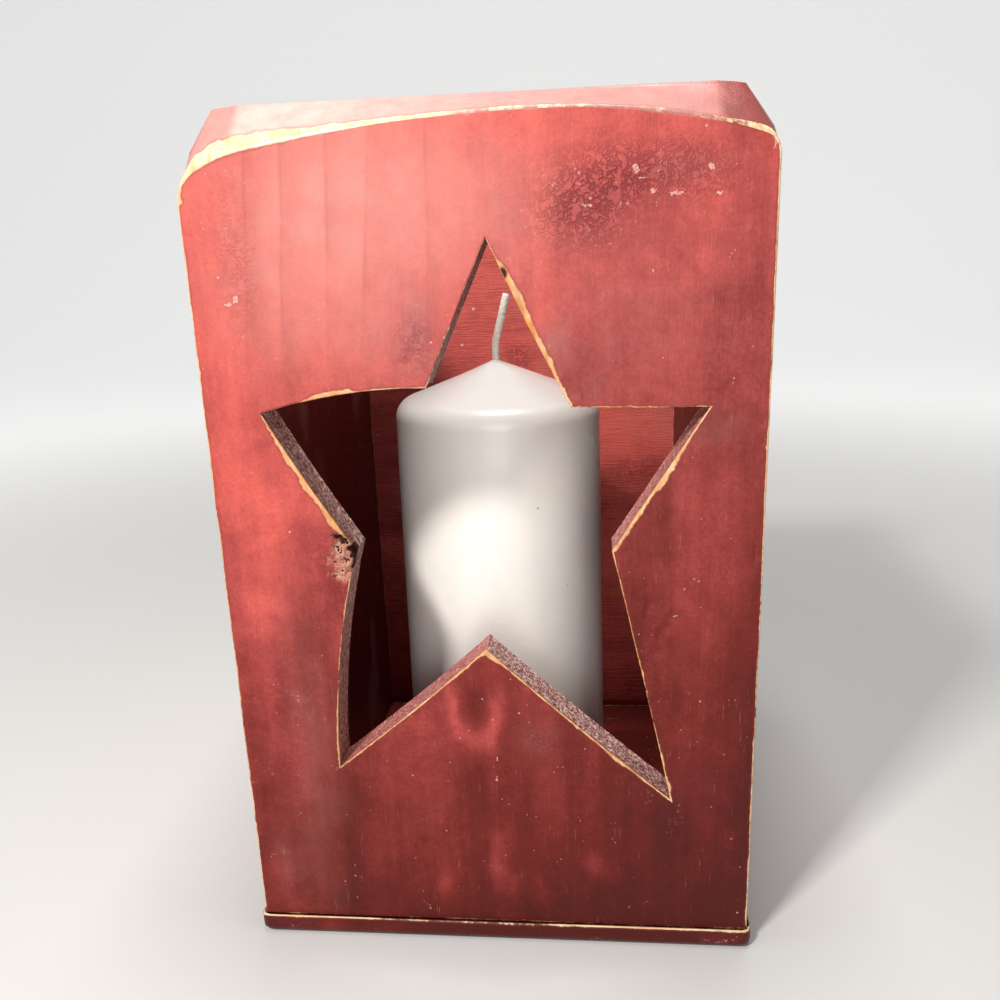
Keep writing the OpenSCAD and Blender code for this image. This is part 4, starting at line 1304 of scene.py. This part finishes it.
        # The coat follows the painted glare on the bevel and the painted sheen
        coat_weight = n.math("MAXIMUM", n.math("MULTIPLY", marks["bevel_glare"], 0.4),
                             n.math("MULTIPLY", marks["painted_sheen"], 0.15))
    n.fill(shader, {"Base Color": colour, "Roughness": gloss,
                    "Normal": n.bump(0.9, 0.00035, height), "Coat Weight": coat_weight,
                    "Coat Roughness": 0.25, "Specular IOR Level": 0.17})
    return material


# Specks in the wax: x, z, half size. Each reaches in from the candle's front.
WAX_SPECKS = [(14.0, 142.0, 0.35), (23.5, 112.0, 0.3), (-8.0, 71.0, 0.3)]
SPECK_Y, SPECK_DEEP = -46, 14


def wax():
    """Ivory wax: light carried under the surface, a soft sheen and faint clouds."""
    material, n, shader, where = new_material("ivory_wax")
    cloud = n.noise(where, 26.0, 3.0, 0.5)
    colour = n.mix(n.step(cloud, 0.3, 0.7), (0.88, 0.845, 0.79, 1), (0.85, 0.82, 0.78, 1))
    for x, z, size in WAX_SPECKS:
        spot = chip_mask(n, where, x, SPECK_Y, z, (size, SPECK_DEEP, size))
        colour = n.mix(n.math("MULTIPLY", spot, 0.8), colour, (0.22, 0.15, 0.11, 1))
    n.fill(shader, {"Base Color": colour, "Roughness": n.step(cloud, 0.2, 0.8, 0.26, 0.32),
                    "Normal": n.bump(0.05, 0.0003, cloud), "Subsurface Weight": 0.3,
                    "Subsurface Radius": (1.0, 0.65, 0.45), "Subsurface Scale": 0.005,
                    "Coat Weight": 0.3, "Coat Roughness": 0.16})
    return material


def cotton():
    """Waxed cotton braid: painted shade between the strands, fine threads across and a few specks.
    """
    material, n, shader, where = new_material("cotton_braid")
    thread = n.noise(n.stretch(where, (1, 1, 0.3)), 2600.0, 3.0, 0.6)
    dust = n.group(PORES, {"Vector": where, "Scale": 700.0, "Rarity": 0.62})
    from_ring = n.math("ABSOLUTE", n.math("SUBTRACT", n.mark("along"), WICK_RING_AT * MM))
    colour = (0.88, 0.83, 0.75, 1)
    # The valley share paints shade into the grooves between the strands
    for share, over in ((n.math("MULTIPLY", n.mark("valley"), 0.45), (0.64, 0.53, 0.41, 1)),
                        (n.step(thread, 0.35, 0.7, 0.0, 0.3), (0.74, 0.66, 0.55, 1)),
                        (dust["Mask"], (0.07, 0.05, 0.04, 1)),
                        (n.step(from_ring, 0.0003, 0.0001, 0.0, 0.5), (0.45, 0.36, 0.27, 1))):
        colour = n.mix(share, colour, over)
    n.fill(shader, {"Base Color": colour, "Roughness": n.step(thread, 0.2, 0.8, 0.5, 0.7),
                    "Normal": n.bump(0.6, 0.00015, thread)})
    return material


def nail_steel():
    """Dull drawn steel with a breath of rust."""
    material, n, shader, where = new_material("dull_nail_steel")
    patch = n.noise(where, 420.0, 4.0, 0.65)
    scratch = n.noise(n.stretch(where, (1, 1, 0.1)), 1900.0, 3.0, 0.6)
    rust = n.step(patch, 0.52, 0.68)
    height = n.math("MULTIPLY_ADD", scratch, 0.4, patch)
    n.fill(shader, {"Base Color": n.mix(rust, (0.36, 0.35, 0.34, 1), (0.19, 0.075, 0.035, 1)),
                    "Metallic": n.step(rust, 0.0, 1.0, 1.0, 0.15),
                    "Roughness": n.math("MULTIPLY_ADD", patch, 0.4, 0.34),
                    "Normal": n.bump(0.5, 0.0001, height)})
    return material


front_finish = painted_board("painted_front", UPRIGHT_GRAIN, 0.0, FRONT_CHIPS, -HALF_D,
                             GROWTH_LINES, 0.45)
board_finish = painted_board("painted_board", UPRIGHT_GRAIN, 0.35, coat_weight=0.08)
panel_finish = painted_board("painted_panel", LEVEL_GRAIN, 0.35, BACK_CHIPS, HALF_D - BOARD_T,
                             lift=1.3, coat_weight=0.08)
plank_finish = painted_board("painted_plank", LEVEL_GRAIN, 0.1, coat_weight=0.0)
pieces = [star_front, *boards, plank, candle, wick]
finishes = [front_finish, panel_finish, board_finish, board_finish, plank_finish, wax(), cotton()]
for piece, finish in zip(pieces, finishes):
    piece.data.materials.append(finish)
steel = nail_steel()
for node in ("front_nails", "back_nails", "base_nails"):
    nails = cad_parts[node]
    nails.data.materials.clear()
    nails.data.materials.append(steel)

# ---------- floor, backdrop and light ----------


def seen_directly(n):
    """1 for what the camera sees, itself or in a mirror or through glass, and 0 for light
    that falls on the object."""
    path = n.add("ShaderNodeLightPath").outputs
    return n.math("MAXIMUM", path["Is Camera Ray"],
                  n.math("MAXIMUM", path["Is Glossy Ray"], path["Is Transmission Ray"]))


def studio_sweep():
    """Floor and backdrop in one sheet: a level floor, a quarter circle and a wall. Away
    from the box, the camera and reflections see it lit up towards white."""
    radius, front, reach, height, half = 0.9, -3.0, 1.5, 2.2, 3.5
    bend = np.linspace(0, math.pi / 2, 40)
    y = np.concatenate([[front], reach + radius * np.sin(bend), [reach + radius]])
    z = np.concatenate([[0.0], radius * (1 - np.cos(bend)), [height]])
    points = np.array([(x, b, c) for b, c in zip(y, z) for x in (-half, half)])
    sheet = smooth_object("studio_sweep", points, grid_quads(len(y), 2))
    material, n, shader, where = new_material("pale_paper")
    tone = n.noise(where, 3.0, 2.0, 0.5)
    away = n.vector("LENGTH", where)
    glow = n.math("MULTIPLY", n.step(away, 0.2, 1.3, 0.0, 0.62), seen_directly(n))
    n.fill(shader, {"Base Color": n.mix(tone, (0.55, 0.545, 0.535, 1), (0.57, 0.565, 0.555, 1)),
                    "Roughness": 0.8, "Emission Color": (1, 1, 1, 1), "Emission Strength": glow})
    sheet.data.materials.append(material)


# Each lamp's name, place, aim, size, watts and colour
LAMPS = [("key_lamp", (-0.34, -0.59, 0.80), (0, 0, 0.14), 0.12, 8.6, (1.0, 0.97, 0.93)),
         ("top_lamp", (0.02, 0.0, 1.15), (0, 0, 0.14), 0.3, 8.0, (1.0, 0.99, 0.98)),
         ("fill_lamp", (0.06, -0.85, 0.22), (0, 0, 0.10), 0.4, 2.2, (1.0, 0.98, 0.96))]


def area_lamp(name, place, aim, size, watts, colour):
    """A square lamp at a place, facing its aim."""
    data = bpy.data.lights.new(name, "AREA")
    data.size, data.energy, data.color = size, watts, colour
    lamp = bpy.data.objects.new(name, data)
    lamp.location = place
    lamp.rotation_euler = (Vector(place) - Vector(aim)).to_track_quat("Z", "Y").to_euler()
    bpy.context.scene.collection.objects.link(lamp)


def pale_world():
    """An even pale sky for the fill, which cameras and reflections see as white."""
    world = bpy.data.worlds.new("pale_world")
    world.use_nodes = True
    world.node_tree.nodes.clear()
    n = Nodes(world.node_tree)
    light = n.add("ShaderNodeBackground", {"Color": (0.96, 0.98, 1.0, 1), "Strength": 0.20})
    white = n.add("ShaderNodeBackground", {"Color": (1, 1, 1, 1), "Strength": 1.0})
    both = n.add("ShaderNodeMixShader", {0: seen_directly(n), 1: light.outputs[0],
                                         2: white.outputs[0]})
    n.add("ShaderNodeOutputWorld", {"Surface": both.outputs[0]})
    bpy.context.scene.world = world


studio_sweep()
for lamp in LAMPS:
    area_lamp(*lamp)
pale_world()
bpy.context.scene.view_settings.view_transform = "Standard"
